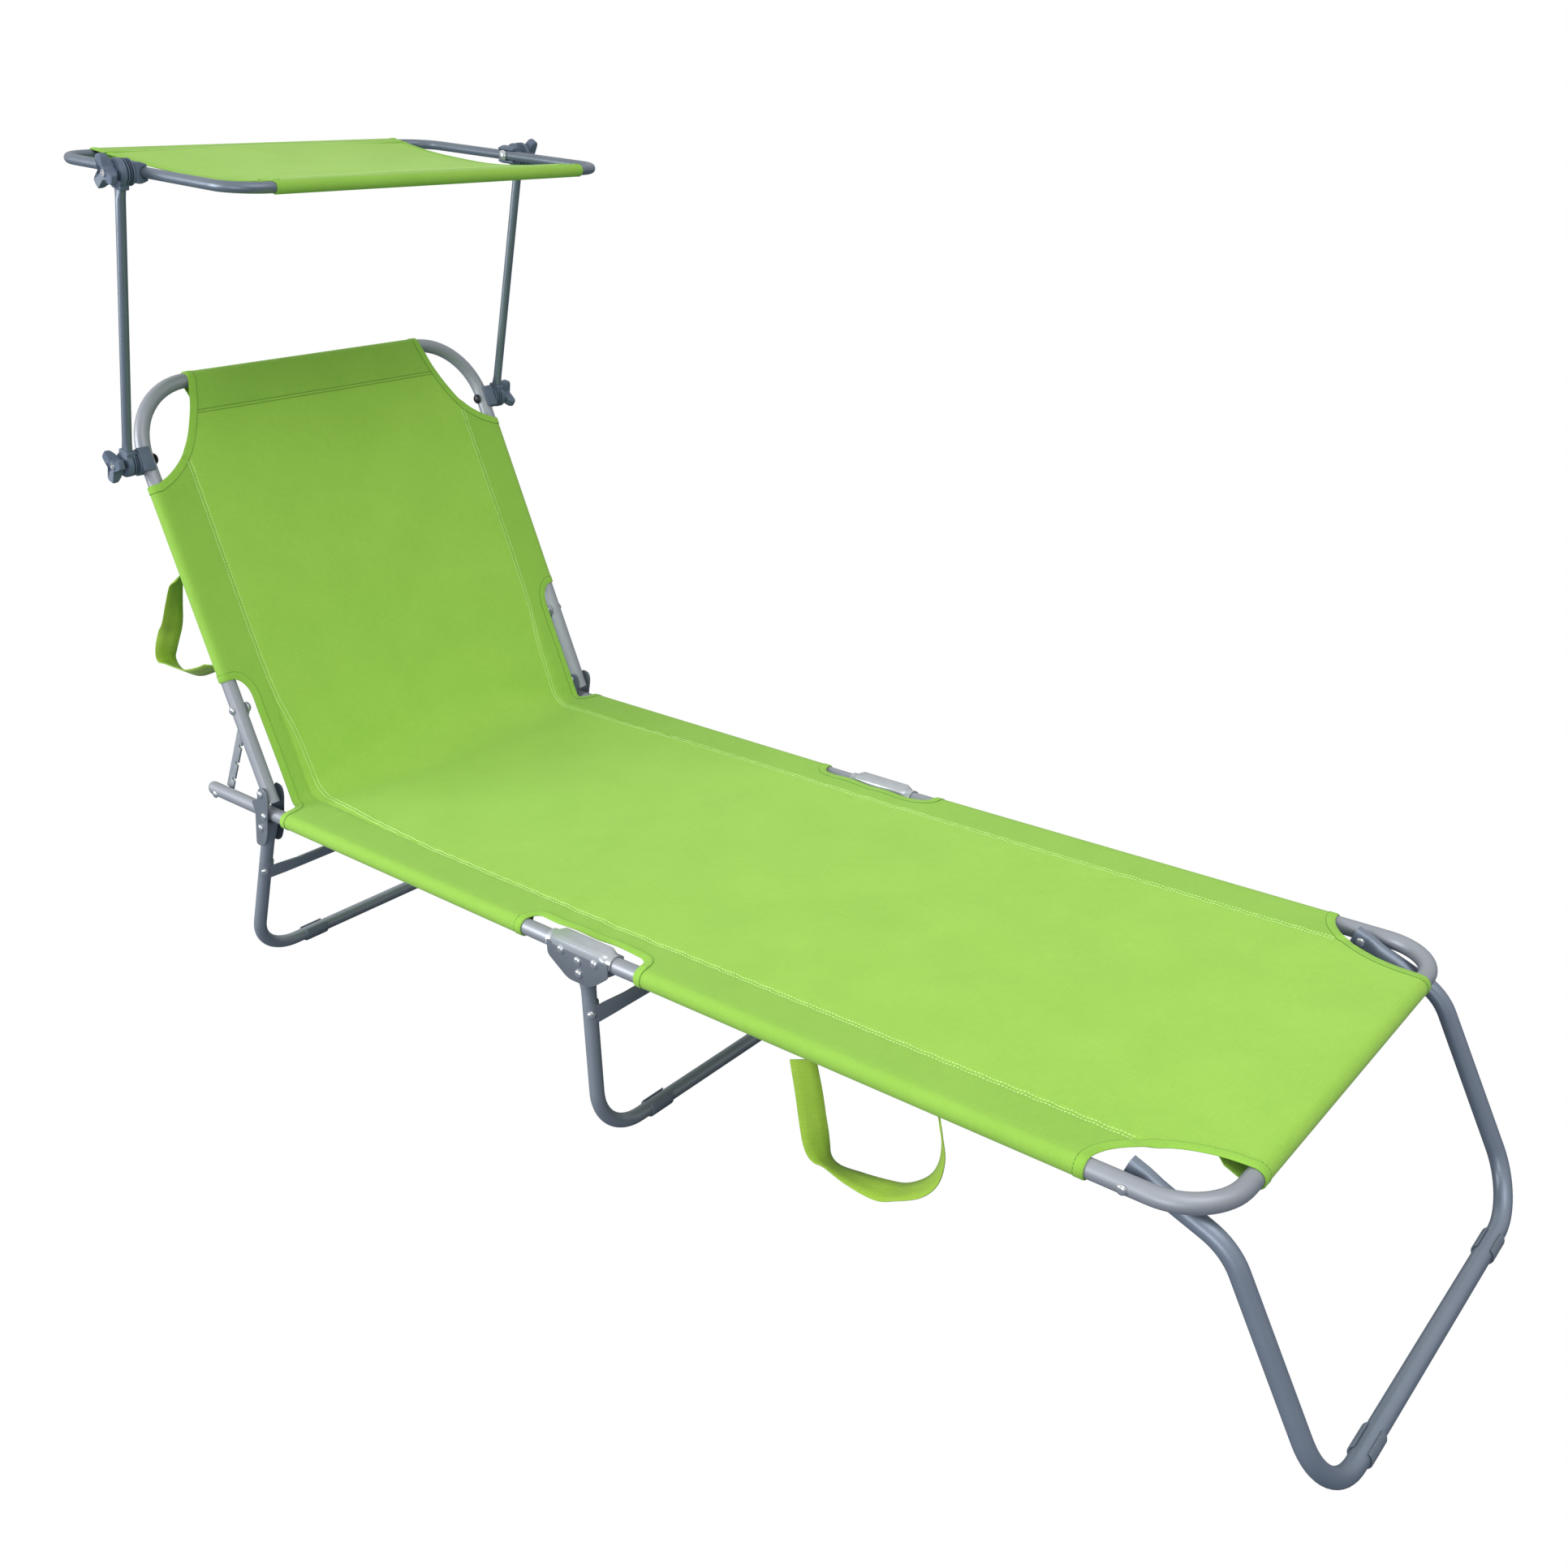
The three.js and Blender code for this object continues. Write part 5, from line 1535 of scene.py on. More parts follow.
# Drawing on the flat cloth
def refine(path, step):
    """The path with points added so that none are further apart than step."""
    full = []
    for a, b in zip(path, path[1:]):
        count = max(1, math.ceil(math.dist(a, b) / step))
        full += [(a[0] + (b[0] - a[0]) * i / count, a[1] + (b[1] - a[1]) * i / count) for i in range(count)]
    return full + [path[-1]]


def curve_value(a, b, c, d, t):
    """One coordinate of a smooth line through four values, between the middle two."""
    bend = 2 * a - 5 * b + 4 * c - d
    twist = 3 * b - a - 3 * c + d
    return 0.5 * (2 * b + (c - a) * t + bend * t * t + twist * t ** 3)


def curve_through(path, steps=5):
    """A smooth line through the points."""
    ends = [path[0]] + list(path) + [path[-1]]
    result = []
    for four in zip(ends, ends[1:], ends[2:], ends[3:]):
        for i in range(steps):
            result.append(tuple(curve_value(a, b, c, d, i / steps) for a, b, c, d in zip(*four)))
    return result + [tuple(path[-1])]


def path_frames(path):
    """Each point of the path with the direction along it there."""
    frames = []
    for i, spot in enumerate(path):
        before, after = path[max(i - 1, 0)], path[min(i + 1, len(path) - 1)]
        frames.append((spot, Vector((after[0] - before[0], after[1] - before[1])).normalized()))
    return frames


def inside(points, outline):
    """Which points lie inside the outline."""
    x, y = points[:, 0], points[:, 1]
    result = np.zeros(len(points), bool)
    ring = np.asarray(outline)
    for (x1, y1), (x2, y2) in zip(ring, np.roll(ring, -1, axis=0)):
        crosses = (y1 > y) != (y2 > y)
        if y1 != y2:
            result ^= crosses & (x < (x2 - x1) * (y - y1) / (y2 - y1) + x1)
    return result


def away_from(points, outline, gap):
    """Which points lie further than the gap from every point of the outline."""
    keep = np.ones(len(points), bool)
    for spot in np.asarray(outline):
        keep &= np.hypot(points[:, 0] - spot[0], points[:, 1] - spot[1]) > gap
    return keep


def lines(*runs):
    """Grid lines: each run is (low, high, step)."""
    values = []
    for low, high, step in runs:
        count = max(1, round((high - low) / step))
        values += [low + (high - low) * i / count for i in range(count)]
    return sorted(set(values + [runs[-1][1]]))


def mirrored(half):
    """The whole closed outline from its left-hand half, given along the lounger at positive v."""
    whole = half + [(u, -v) for u, v in reversed(half)]
    return whole + [whole[0]]


def flipped(path):
    """The same edge on the other side, run the other way so that the cloth stays to its left."""
    return [(u, -v) for u, v in reversed(path)]


OUTLINE_STEP = 6 * MM
GRID_TO_EDGE = 1.7 * MM
WELD_GAP = 1e-7


def cut_sheet(name, outline, u_lines, v_lines, point_at, layers_at):
    """Triangulates the closed flat outline and lays it on the frame, as a sheet with two faces and a rim."""
    ring = outline[:-1]
    grid = np.array([(u, v) for u in u_lines for v in v_lines])
    grid = grid[inside(grid, ring)]
    grid = grid[away_from(grid, ring, GRID_TO_EDGE)]
    flat = [Vector(p) for p in ring] + [Vector(p) for p in grid]
    count = len(ring)
    edges = [(i, (i + 1) % count) for i in range(count)]
    cut = delaunay_2d_cdt(flat, edges, [list(range(count))], 1, WELD_GAP)
    spots = [tuple(s) for s in cut[0]]
    triangles = cut[2]
    top, bottom = [], []
    for u, v in spots:
        point, lift = point_at(u, v), normal_at(point_at, u, v) * (CLOTH / 2)
        top.append(point + lift)
        bottom.append(point - lift)
    total = len(spots)
    uses = {(a, b) for face in triangles for a, b in zip(face, face[1:] + face[:1])}
    faces = [list(f) for f in triangles]
    faces += [[k + total for k in reversed(f)] for f in triangles]
    faces += [(b, a, a + total, b + total) for a, b in sorted(uses) if (b, a) not in uses]
    uv = [(v, u) for u, v in spots] * 2
    made = mesh_object(name, top + bottom, faces, "cloth", 60, uv=uv)
    layer = made.data.attributes.new("layers", "FLOAT", "POINT")
    layer.data.foreach_set("value", [layers_at(u, v) for u, v in spots] * 2)
    return made


# Hems: binding folded over the cloth's edge
HEM_WIDTH = 9 * MM
CANOPY_HEM_WIDTH = 8 * MM
HEM_GAP = 0.62 * MM
HEM_THICK = 0.55 * MM
HEM_SHOULDER = 0.6 * MM
HEM_NOSE = 0.4 * MM
HEM_FLOOR = 0.5 * MM
HEM_STEP = 4 * MM


def hem_section(width):
    """The folded binding's section: (reach onto the cloth, height over the cloth's middle)."""
    outside = HEM_GAP + HEM_THICK
    return [(width, HEM_GAP), (width, outside), (HEM_SHOULDER, outside), (-HEM_THICK, HEM_NOSE),
            (-HEM_THICK, -HEM_NOSE), (HEM_SHOULDER, -outside), (width, -outside), (width, -HEM_GAP),
            (HEM_FLOOR, -HEM_GAP), (HEM_FLOOR, HEM_GAP)]


def hem_strip(name, path, point_at, width=HEM_WIDTH):
    """Binding along an edge of the cloth, which lies to the left of the path."""
    path = refine(path, HEM_STEP)
    section = hem_section(width)
    verts, uv = [], []
    run = 0
    last_spot = path[0]
    for spot, along in path_frames(path):
        run += math.dist(last_spot, spot)
        last_spot = spot
        for reach, height in section:
            u, v = spot[0] - along.y * reach, spot[1] + along.x * reach
            verts.append(point_at(u, v) + normal_at(point_at, u, v) * height)
            uv.append((run, reach + height))
    count = len(section)
    faces = band_faces(len(path), count)
    for base in (0, (len(path) - 1) * count):
        for corners in ((0, 1, 2, 9), (2, 3, 4, 9), (4, 5, 8, 9), (5, 6, 7, 8)):
            faces.append([base + k for k in corners])
    return mesh_object(name, verts, faces, "hem", 50, uv=uv)


def inset(path, reach):
    """A line inside the cloth, beside the edge that the path runs along."""
    frames = path_frames(refine(path, HEM_STEP))
    return [(spot[0] - along.y * reach, spot[1] + along.x * reach) for spot, along in frames]


# Sewing: short threads laid along each row by Geometry Nodes
STITCH_LENGTH = 3.4 * MM
STITCH_PITCH = 4.2 * MM
STITCH_LIFT = 0.75 * MM
THREAD_R = 0.5 * MM
STITCH_SHARES = [(-0.5, 0.1), (-0.35, 1), (0.35, 1), (0.5, 0.1)]


def stitch_rows(name, rows, point_at, material="thread"):
    profile = scaled(STITCH_SHARES, STITCH_LENGTH, THREAD_R)
    shape = lathe(f"{name}_thread", profile, (0, 0, 0), (1, 0, 0), material, 6)
    spots, up, along = [], [], []
    for row in rows:
        fine = refine(row, STITCH_PITCH)
        for (u, v), (next_u, next_v) in zip(fine, fine[1:]):
            middle = (u + next_u) / 2, (v + next_v) / 2
            normal = normal_at(point_at, *middle)
            spots.append(point_at(*middle) + normal * STITCH_LIFT)
            up.append(normal)
            along.append((point_at(next_u, next_v) - point_at(u, v)).normalized())
    return set_on_points(name, shape, spots, up, material, along)


# The sling's pattern. Its side sleeves stop at these places, measured up the backrest or along the seat.
BACK_SLEEVE_TOP = 413 * MM
BACK_SLEEVE_LOW = 152 * MM
SEAT_SLEEVE_REAR = 28.5 * MM
SEAT_SLEEVE_FRONT = 485.5 * MM
FOOT_SLEEVE_REAR = 662.5 * MM
FOOT_SLEEVE_FRONT = 1197 * MM
SLEEVE_SLANT = 34 * MM
TOP_HALF = 188 * MM
END_HALF = 203 * MM
TOP_CORNER = 12 * MM
END_CORNER = 13 * MM
CORNER_RUN = 20 * MM
SPLIT_U = 240 * MM         # where the sling is split in two sheets, under the sitter

# Its cut-outs, as shares of their length and of the way from their narrowest half width out to the tube
TOP_CUT_LENGTH = 125 * MM
TOP_CUT_SHARES = [
    (0, 0), (0.12, 0.051), (0.312, 0.135), (0.592, 0.326), (0.792, 0.539), (0.928, 0.787), (1, 1),
]
HINGE_CUT_BACK_SHARES = [(1, 1), (0.987, 0.667), (0.934, 0.286), (0.842, 0.048), (0.658, 0.024), (0.132, 0)]
HINGE_CUT_SEAT = 28 * MM
HINGE_CUT_SEAT_SHARES = [(0.571, 0), (0.75, 0.071), (0.893, 0.286), (0.964, 0.667), (1, 1)]
MID_CUT_REAR = 486 * MM
MID_CUT_LENGTH = 176 * MM
MID_HALF = 258.5 * MM
MID_CUT_SHARES = [
    (0, 1), (0.011, 0.568), (0.045, 0.216), (0.114, 0.162), (0.25, 0.135), (0.534, 0.054),
    (0.761, 0), (0.886, 0.027), (0.949, 0.189), (0.989, 0.514), (1, 1),
]
FOOT_CUT_SHARES = [
    (0, 1), (0.017, 0.851), (0.077, 0.662), (0.196, 0.459),
    (0.366, 0.27), (0.553, 0.122), (0.774, 0.027), (1, 0),
]


def cut_curve(shares, start, length, half):
    return curve_through(scaled(shares, length, V_TUBE - half, start, half))


FOOT_CUT_START = u_seat(FOOT_SLEEVE_FRONT)
TOP_CUT = cut_curve(TOP_CUT_SHARES, U_TOP, TOP_CUT_LENGTH, TOP_HALF)
HINGE_CUT = (cut_curve(HINGE_CUT_BACK_SHARES, u_back(0), -BACK_SLEEVE_LOW, HINGE_HALF)
             + cut_curve(HINGE_CUT_SEAT_SHARES, u_seat(0), HINGE_CUT_SEAT, HINGE_HALF))
MID_CUT = cut_curve(MID_CUT_SHARES, u_seat(MID_CUT_REAR), MID_CUT_LENGTH, MID_HALF)
FOOT_CUT = cut_curve(FOOT_CUT_SHARES, FOOT_CUT_START, U_END - FOOT_CUT_START, END_HALF)


def side_sleeve(u_low, u_high):
    """A side sleeve's outline, out to its sewn edge and back to the tube."""
    slanted = ((u_low + SLEEVE_SLANT, V_HEM), (u_high - SLEEVE_SLANT, V_HEM))
    return [(u_low, V_TUBE), (u_low, V_WRAP), *slanted, (u_high, V_WRAP), (u_high, V_TUBE)]


def sling_half():
    """The sling's left half, from the middle of its top edge to the middle of its foot end."""
    top = [(TOP_EDGE, TOP_HALF - TOP_CORNER), (TOP_EDGE + CORNER_RUN, TOP_HALF)]
    end = [(END_EDGE - CORNER_RUN, END_HALF), (END_EDGE, END_HALF - END_CORNER)]
    back_side = side_sleeve(u_back(BACK_SLEEVE_TOP), u_back(BACK_SLEEVE_LOW))
    seat_side = side_sleeve(u_seat(SEAT_SLEEVE_REAR), u_seat(SEAT_SLEEVE_FRONT))
    foot_side = side_sleeve(u_seat(FOOT_SLEEVE_REAR), u_seat(FOOT_SLEEVE_FRONT))
    return (top + TOP_CUT[:-1] + back_side + HINGE_CUT[1:-1] + seat_side + MID_CUT[1:-1]
            + foot_side + FOOT_CUT[1:] + end)


# Hems of the sling: they run on round the sleeves' ends, and a little way under the end sleeves
HEM_UNDER = 36 * MM
HEM_START = 1 * MM
HEM_PAST_END = 34 * MM


def sleeve_end(u):
    """The end of a side sleeve, from its underside up to the tube."""
    return [(u, V_TUBE + HEM_UNDER), (u, V_TUBE + HEM_START)]


def sling_hems(name):
    """Bound edges: the cut-outs, and the sleeves' ends where they leave the tubes."""
    if name == "sling_back":
        top = [(U_TOP - HEM_PAST_END, TOP_HALF)] + TOP_CUT[:-1]
        hinge = sleeve_end(u_back(BACK_SLEEVE_LOW)) + HINGE_CUT[1:-1]
        edges = [top + sleeve_end(u_back(BACK_SLEEVE_TOP))[::-1],
                 hinge + sleeve_end(u_seat(SEAT_SLEEVE_REAR))[::-1]]
    else:
        middle = sleeve_end(u_seat(SEAT_SLEEVE_FRONT)) + MID_CUT[1:-1]
        foot = sleeve_end(u_seat(FOOT_SLEEVE_FRONT)) + FOOT_CUT[1:]
        edges = [middle + sleeve_end(u_seat(FOOT_SLEEVE_REAR))[::-1],
                 foot + [(U_END + HEM_PAST_END, END_HALF)]]
    edges = [edge[::-1] for edge in edges]
    return edges + [flipped(edge) for edge in edges]


# Rows of sewing: two pale ones along each side sleeve, two dark ones across the top, one beside each hem; the
# dark thread is stitching and also painted shade, the dark line of the groove at each hem's inner edge
SIDE_ROW_TOP = 434 * MM
SIDE_ROW_STRAIGHT = 400 * MM
SIDE_ROW_LOW = 153 * MM
WAIST_BACK = 60 * MM
WAIST_SEAT = 80 * MM
WAIST_IN = 10 * MM
FOLD_WAIST_IN = 13 * MM
FOOT_ROW_MIDDLE = 480 * MM
FOOT_ROW_END = 1214 * MM
TOP_ROWS = (42 * MM, 46 * MM)
TOP_ROW_HALF = 195 * MM
HEM_ROW_IN = 9.2 * MM
ROW_STEPS = 12


def side_row(name, place):
    """A row along a side sleeve, drawn in a little about the fold, as (u, distance from the middle)."""
    if name == "sling_foot":
        return [(SPLIT_U, place), (u_seat(FOOT_ROW_MIDDLE), place), (u_seat(FOOT_ROW_END), place)]
    return [(u_back(SIDE_ROW_TOP), place), (u_back(SIDE_ROW_STRAIGHT), place), (u_back(SIDE_ROW_LOW), place),
            (u_back(WAIST_BACK), place - WAIST_IN), (0, place - FOLD_WAIST_IN),
            (u_seat(WAIST_SEAT), place - WAIST_IN), (SPLIT_U, place)]


def side_rows(name):
    rows = []
    for side in (-1, 1):
        for place in (SEAM_IN, SEAM_OUT):
            rows.append(curve_through([(u, side * v) for u, v in side_row(name, place)], ROW_STEPS))
    return rows


def edge_rows(name):
    rows = [inset(path, HEM_ROW_IN) for path in sling_hems(name)]
    if name == "sling_back":
        rows += [[(U_TOP + drop, -TOP_ROW_HALF), (U_TOP + drop, TOP_ROW_HALF)] for drop in TOP_ROWS]
    return rows


TOP_DOUBLE_FROM = 44 * MM
TOP_DOUBLE_TO = 49 * MM


def sling_layers(u, v):
    """1 where the cloth is double, by its seams and sleeves."""
    side = ease(abs(v), SEAM_IN, SEAM_OUT)
    top = 1 - ease(u, U_TOP + TOP_DOUBLE_FROM, U_TOP + TOP_DOUBLE_TO)
    return max(side, top)


# The grid that the sling is drawn on is finer round the tubes, at the seams and in the fold
GRID_TAIL = 9 * MM
GRID_WRAP = 3 * MM
GRID_SEAM = 2 * MM
GRID_EDGE = 8 * MM
GRID_MIDDLE = 9.5 * MM
GRID_ALONG = 10 * MM
GRID_FOLD = 5 * MM
SEAM_BAND_IN = 218 * MM
SEAM_BAND_OUT = 236 * MM
FOLD_BAND = 80 * MM
SIDE_RUNS = [(SEAM_BAND_IN, SEAM_BAND_OUT, GRID_SEAM), (SEAM_BAND_OUT, V_TUBE, GRID_EDGE),
             (V_TUBE, V_WRAP, GRID_WRAP), (V_WRAP, V_HEM, GRID_TAIL)]
NEAR_RUNS = [(-high, -low, step) for low, high, step in reversed(SIDE_RUNS)]
V_LINES = lines(*NEAR_RUNS, (-SEAM_BAND_IN, SEAM_BAND_IN, GRID_MIDDLE), *SIDE_RUNS)
TOP_WRAP = U_TOP - END_SLEEVE.wrap
END_WRAP = U_END + END_SLEEVE.wrap
REAR_LINES = lines((TOP_EDGE, TOP_WRAP, GRID_TAIL), (TOP_WRAP, U_TOP, GRID_WRAP),
                   (U_TOP, -FOLD_BAND, GRID_ALONG), (-FOLD_BAND, FOLD_BAND, GRID_FOLD),
                   (FOLD_BAND, SPLIT_U, GRID_ALONG))
FRONT_LINES = lines((SPLIT_U, U_END, GRID_ALONG), (U_END, END_WRAP, GRID_WRAP),
                    (END_WRAP, END_EDGE, GRID_TAIL))

# Places where the cloth joins two bodies; the steps below only bake each piece's placement into its mesh
FOLD_BLEND_BACK = 45 * MM
FOLD_BLEND_SEAT = 22 * MM
MID_BLEND_REAR = SEAT_FRONT
MID_BLEND_FRONT = 646 * MM


def blend_at_fold(piece):
    start, end = BACK.at(FOLD_BLEND_BACK, 0, SLING_R), SEAT.at(FOLD_BLEND_SEAT, 0, SLING_R)
    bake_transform(piece)
    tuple(start)
    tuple(end)


def blend_at_middle(piece):
    start, end = SEAT.at(MID_BLEND_REAR, 0, SLING_R), SEAT.at(MID_BLEND_FRONT, 0, SLING_R)
    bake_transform(piece)
    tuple(start)
    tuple(end)


def add_sling_sheet(name, half, u_lines, blend, nodes):
    """One sheet of the sling, with its hems and its rows of sewing."""
    whole = refine(mirrored(half), OUTLINE_STEP)
    sheet = cut_sheet(name, whole, u_lines, V_LINES, sling_point, sling_layers)
    strips = [hem_strip(f"{name}_hem_{i}", path, sling_point) for i, path in enumerate(sling_hems(name))]
    hem = joined(f"{name}_hems", strips)
    seams = stitch_rows(f"{name}_stitches", side_rows(name), sling_point)
    # The dark rows beside the hems are stitching and painted groove shade
    edge_sewing = stitch_rows(f"{name}_edge_stitches", edge_rows(name), sling_point, "dark_thread_and_groove_shade")
    for piece in (sheet, hem, seams, edge_sewing):
        blend(piece)
    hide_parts(*nodes)


def add_sling():
    half = sling_half()
    split = [(SPLIT_U, V_HEM)]
    back_half = [p for p in half if p[0] < SPLIT_U] + split
    foot_half = split + [p for p in half if p[0] > SPLIT_U]
    add_sling_sheet("sling_back", back_half, REAR_LINES, blend_at_fold,
                    ["backrest_cloth", "seat_cloth"])
    add_sling_sheet("sling_foot", foot_half, FRONT_LINES, blend_at_middle,
                    ["foot_cloth"])


add_sling()


# Canopy cloth: a sleeve over the rear and the front tube, and side edges that bow inwards between them
CANOPY_CLOTH_HALF = 233 * MM
CANOPY_HEM_TUCK = 1 * MM
CANOPY_BOW = 15 * MM
CANOPY_BOW_STEPS = 24
CANOPY_GRID = 8 * MM
CANOPY_GRID_WRAP = 2.5 * MM
CANOPY_GRID_HALF = 240 * MM
CANOPY_ROW_IN = 27 * MM
CANOPY_ROW_HALF = 222 * MM
CANOPY_DOUBLE_TO = 26 * MM
CANOPY_SINGLE_FROM = 30 * MM
CANOPY_REAR_EDGE = -CANOPY_REAR - CANOPY_SLEEVE.length
CANOPY_FRONT_EDGE = CANOPY_FRONT + CANOPY_SLEEVE.length


def canopy_side_edge():
    """The left side edge, from over the rear tube to over the front one."""
    edge = []
    for i in range(CANOPY_BOW_STEPS + 1):
        share = i / CANOPY_BOW_STEPS
        u = -CANOPY_REAR + (CANOPY_REAR + CANOPY_FRONT) * share
        edge.append((u, CANOPY_CLOTH_HALF - CANOPY_BOW * math.sin(math.pi * share)))
    return edge


def canopy_layers(u, v):
    """1 where the cloth is double, along its two sleeves."""
    return 1 - ease(min(u + CANOPY_REAR, CANOPY_FRONT - u), CANOPY_DOUBLE_TO, CANOPY_SINGLE_FROM)


def add_canopy_cloth():
    tucked = CANOPY_CLOTH_HALF - CANOPY_HEM_TUCK
    edge = canopy_side_edge()
    half = [(CANOPY_REAR_EDGE, tucked)] + edge + [(CANOPY_FRONT_EDGE, tucked)]
    whole = refine(mirrored(half), OUTLINE_STEP)
    rear_wrap, front_wrap = -CANOPY_REAR - CANOPY_SLEEVE.wrap, CANOPY_FRONT + CANOPY_SLEEVE.wrap
    u_lines = lines((CANOPY_REAR_EDGE, rear_wrap, CANOPY_GRID), (rear_wrap, -CANOPY_REAR, CANOPY_GRID_WRAP),
                    (-CANOPY_REAR, CANOPY_FRONT, CANOPY_GRID), (CANOPY_FRONT, front_wrap, CANOPY_GRID_WRAP),
                    (front_wrap, CANOPY_FRONT_EDGE, CANOPY_GRID))
    v_lines = lines((-CANOPY_GRID_HALF, CANOPY_GRID_HALF, CANOPY_GRID))
    sheet = cut_sheet("canopy_sheet", whole, u_lines, v_lines, canopy_point, canopy_layers)
    paths = (edge[::-1], flipped(edge[::-1]))
    strips = [hem_strip(f"canopy_hem_{i}", path, canopy_point, CANOPY_HEM_WIDTH)
              for i, path in enumerate(paths)]
    hem = joined("canopy_hems", strips)
    rows = [[(u, -CANOPY_ROW_HALF), (u, CANOPY_ROW_HALF)]
            for u in (-CANOPY_REAR + CANOPY_ROW_IN, CANOPY_FRONT - CANOPY_ROW_IN)]
    seams = stitch_rows("canopy_stitches", rows, canopy_point)
    for piece in (sheet, hem, seams):
        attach(piece, "canopy")
    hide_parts("canopy_cloth")


add_canopy_cloth()


# Carry straps: webbing on the right side, in shares of each strap's spread and drop, its lean in degrees
STRAP_Y = -282 * MM
STRAP_HALF = 14 * MM
STRAP_HALF_THICK = 0.9 * MM
STRAP_EDGE = 0.6 * MM
STRAP_STEPS = 8
FOOT_STRAP_START = 281 * MM
FOOT_STRAP_SPREAD = 165 * MM
FOOT_STRAP_DROP = 123 * MM
FOOT_STRAP_SHARES = [
    (0, 0.095), (0.012, 0.179), (0.042, 0.39), (0.073, 0.667), (0.109, 0.878), (0.188, 0.976), (0.376, 1),
    (0.576, 0.984), (0.721, 0.911), (0.879, 0.764), (0.97, 0.585), (1, 0.374), (0.982, 0.195), (0.97, 0.095),
]
FOOT_STRAP_LEANS = (68, 66, 60, 52, 20, -24, -6, 14, 8, 20, 32, 38, 39, 39)
BACK_STRAP_START = 175 * MM
BACK_STRAP_SPREAD = 123 * MM
BACK_STRAP_DROP = 124 * MM
BACK_STRAP_SHARES = [
    (1, 0.094), (0.959, 0.226), (0.78, 0.419), (0.593, 0.605), (0.472, 0.79), (0.35, 0.944),
    (0.252, 1), (0.163, 0.919), (0.073, 0.734), (0.016, 0.548), (0, 0.29), (0.008, 0.094),
]
BACK_STRAP_LEANS = (-30, -22, -8, 12, 36, 20, -6, -30, -34, -30, -24, -20)


def webbing_section():
    """The webbing's section: flat, with its two edges thinned."""
    near = STRAP_HALF - STRAP_EDGE
    third = STRAP_HALF / 3
    top = [(across, STRAP_HALF_THICK) for across in (-near, -third, third, near)]
    return [(-STRAP_HALF, 0)] + top + [(STRAP_HALF, 0)] + [(a, -b) for a, b in reversed(top)]


def webbing(name, plane, route, leans):
    """Webbing along a route of (along, drop under the tube's centre)."""
    points = [(along, -drop, math.radians(lean)) for (along, drop), lean in zip(route, leans)]
    rows = curve_through(points, STRAP_STEPS)
    section = webbing_section()
    side = Vector((0, 1, 0))
    verts, uv = [], []
    run = 0
    for i, (along, out, lean) in enumerate(rows):
        before, after = rows[max(i - 1, 0)], rows[min(i + 1, len(rows) - 1)]
        heading = (plane.at(after[0], 0, after[1]) - plane.at(before[0], 0, before[1])).normalized()
        normal = heading.cross(side)
        run += math.dist(before[:2], (along, out))
        for across, lift in section:
            a = across * math.cos(lean) - lift * math.sin(lean)
            b = across * math.sin(lean) + lift * math.cos(lean)
            verts.append(plane.at(along, STRAP_Y, out) + side * a + normal * b)
            uv.append((across + lift, run))
    return mesh_object(name, verts, loft_faces(len(rows), len(section)), "strap", 60, uv=uv)


def add_straps():
    route = scaled(FOOT_STRAP_SHARES, FOOT_STRAP_SPREAD, FOOT_STRAP_DROP, FOOT_STRAP_START)
    strap = webbing("foot_webbing", FOOT, route, FOOT_STRAP_LEANS)
    place_piece(strap, "foot_section", "strap_webbing", "foot_strap")
    route = scaled(BACK_STRAP_SHARES, BACK_STRAP_SPREAD, BACK_STRAP_DROP, BACK_STRAP_START)
    strap = webbing("backrest_webbing", BACK, route, BACK_STRAP_LEANS)
    place_piece(strap, "backrest", "strap_webbing", "backrest_strap")


add_straps()


# Studio: a white room, soft light from above and from the near side, and a floor that only bounces light
FLOOR_REACH = 9
FLOOR_THICK = 20 * MM
FLOOR_GAP = 0.5 * MM
ROOM_LOW = -0.25           # the upward part of a ray's direction at which the room is dimmest
ROOM_HIGH = 0.8            # and the one at which it is brightest
ROOM_DIM = 0.38
ROOM_BRIGHT = 0.78


def studio_floor():
    """A white floor to the camera, and a blue-grey matt one to the light that bounces off it."""
    material, tree = blank_material("studio_floor")
    seen = node(tree, "ShaderNodeLightPath").outputs["Is Camera Ray"]
    matt = node(tree, "ShaderNodeBsdfDiffuse", Color=linear("#66707E"))
    white = node(tree, "ShaderNodeEmission", Color=(1, 1, 1, 1), Strength=1.0)
    both = node(tree, "ShaderNodeMixShader", i0=seen, i1=matt.outputs[0], i2=white.outputs[0])
    finish_material(tree, both)
    return material


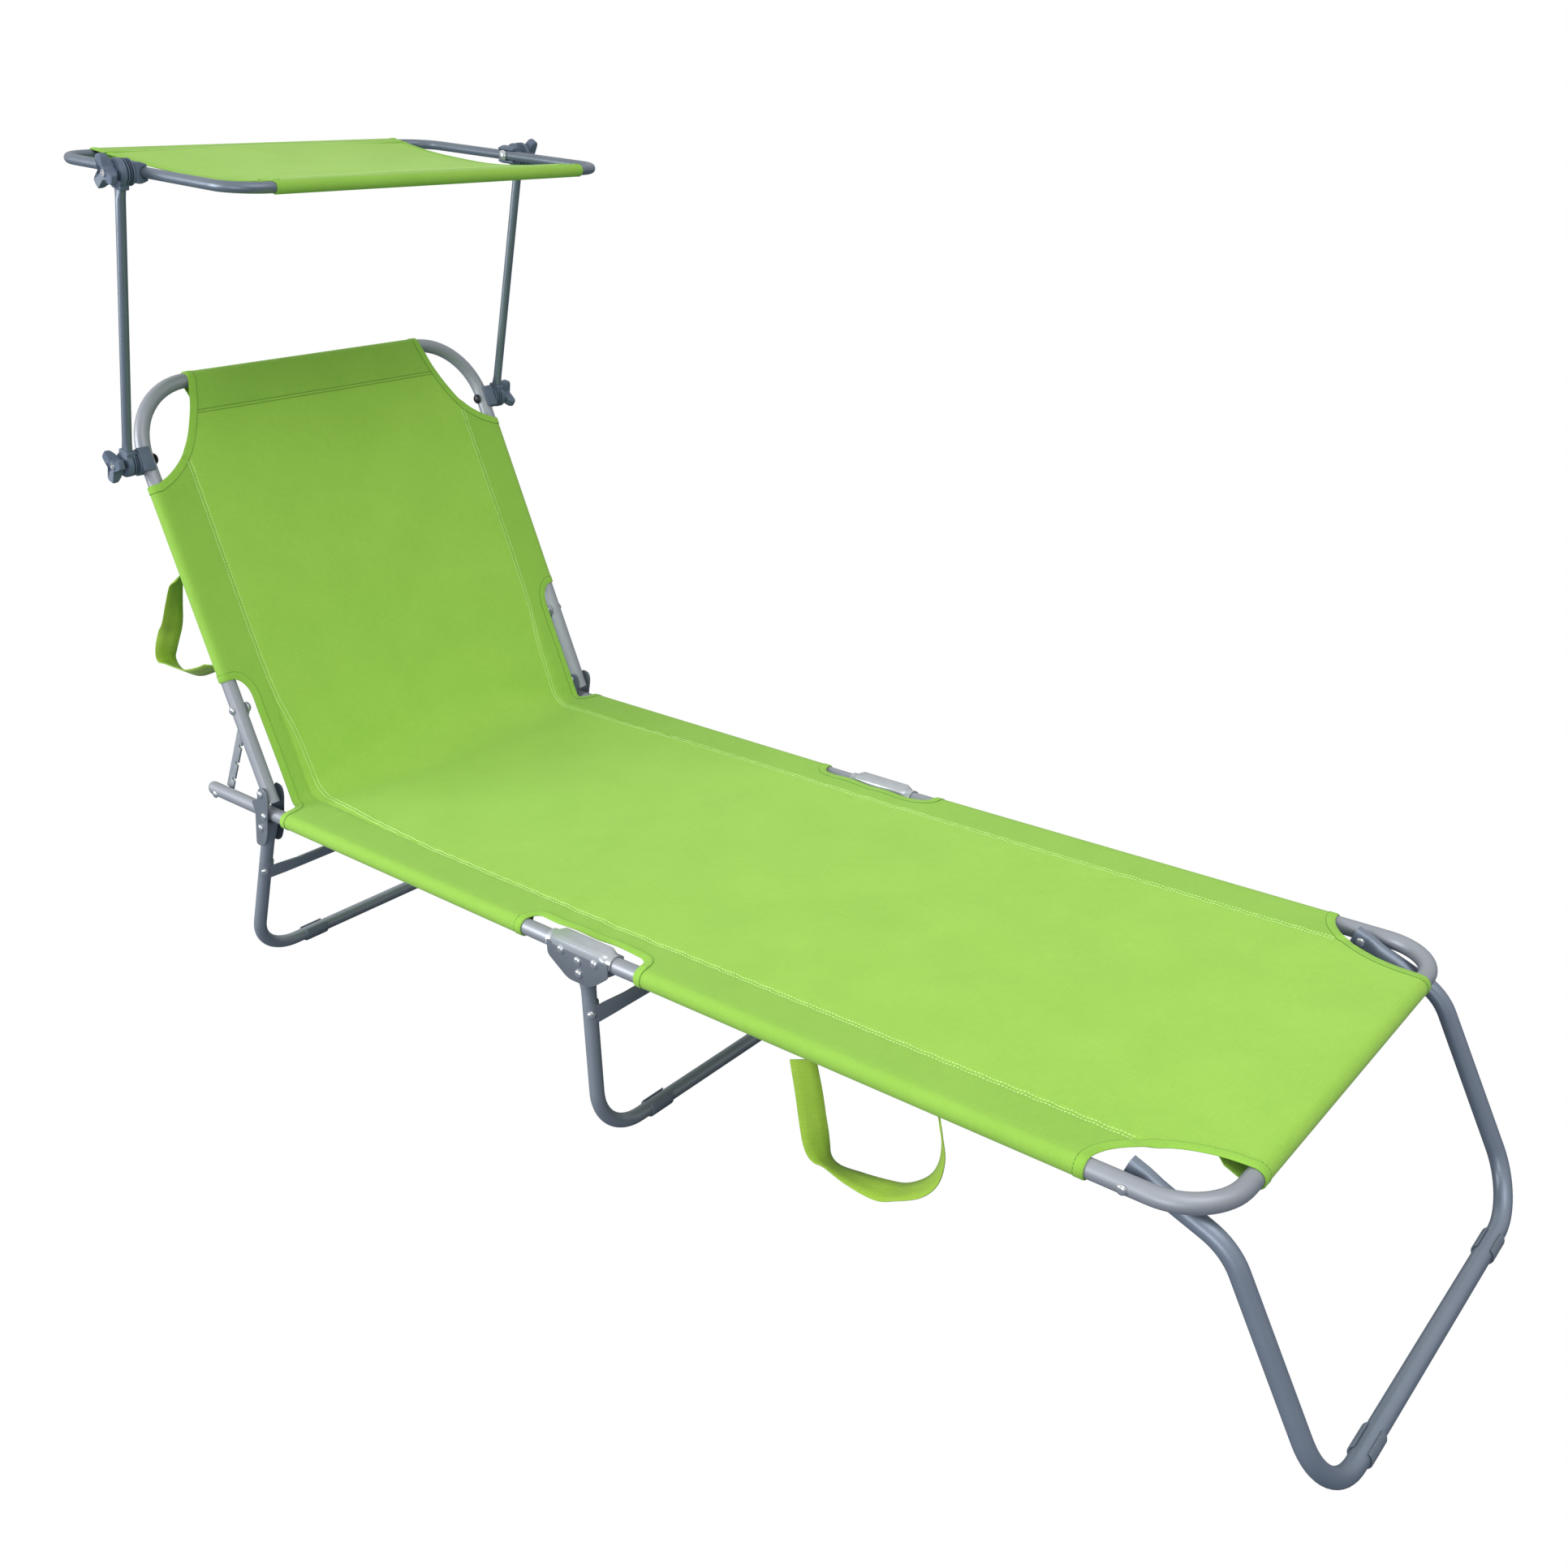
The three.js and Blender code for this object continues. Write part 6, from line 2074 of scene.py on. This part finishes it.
def add_floor():
    PAINT["floor"] = studio_floor()
    corners = [(-FLOOR_REACH, -FLOOR_REACH), (FLOOR_REACH, -FLOOR_REACH),
               (FLOOR_REACH, FLOOR_REACH), (-FLOOR_REACH, FLOOR_REACH)]
    verts = [(x, y, z) for z in (-FLOOR_THICK, -FLOOR_GAP) for x, y in corners]
    mesh_object("floor", verts, loft_faces(2, len(corners)), "floor")


def add_world():
    world = bpy.data.worlds.new("studio")
    bpy.context.scene.world = world
    world.use_nodes = True
    tree = world.node_tree
    tree.nodes.clear()
    way = node(tree, "ShaderNodeSeparateXYZ", Vector=node(tree, "ShaderNodeTexCoord").outputs["Generated"])
    rise = node(tree, "ShaderNodeMapRange", {"interpolation_type": "SMOOTHSTEP"}, Value=way.outputs["Z"],
                i1=ROOM_LOW, i2=ROOM_HIGH, i3=ROOM_DIM, i4=ROOM_BRIGHT).outputs[0]
    seen = node(tree, "ShaderNodeLightPath").outputs["Is Camera Ray"]
    strength = node(tree, "ShaderNodeMix", {"data_type": "FLOAT"}, i0=seen, i2=rise, i3=1.0).outputs[0]
    room = node(tree, "ShaderNodeBackground", Color=(1, 1, 1, 1), Strength=strength)
    output = node(tree, "ShaderNodeOutputWorld")
    tree.links.new(room.outputs[0], output.inputs["Surface"])


# Soft boxes: place and aim in the frame, width and height, and power in watts
LIGHTS = {
    "overhead": {"place": (1.8, -0.5, 3.0), "aim": (0.5, 0, 0.3), "size": (2.4, 1.8), "power": 28},
    "near_left": {"place": (-2.4, -3.0, 1.3), "aim": (-0.1, 0, 0.35), "size": (1.8, 1.6), "power": 85},
    "near_low": {"place": (0.9, -3.2, 0.7), "aim": (-0.1, 0, 0.2), "size": (1.8, 1.0), "power": 23},
}


def add_light(name, place, aim, size, power):
    data = bpy.data.lights.new(name, "AREA")
    data.shape = "RECTANGLE"
    data.size, data.size_y = size
    data.energy = power
    light = bpy.data.objects.new(name, data)
    light.location = place
    light.rotation_euler = (Vector(aim) - Vector(place)).to_track_quat("-Z", "Y").to_euler()
    light.visible_camera = False
    bpy.context.scene.collection.objects.link(light)


add_floor()
add_world()
for name, light in LIGHTS.items():
    add_light(name, **light)

bpy.context.scene.view_settings.view_transform = "Standard"
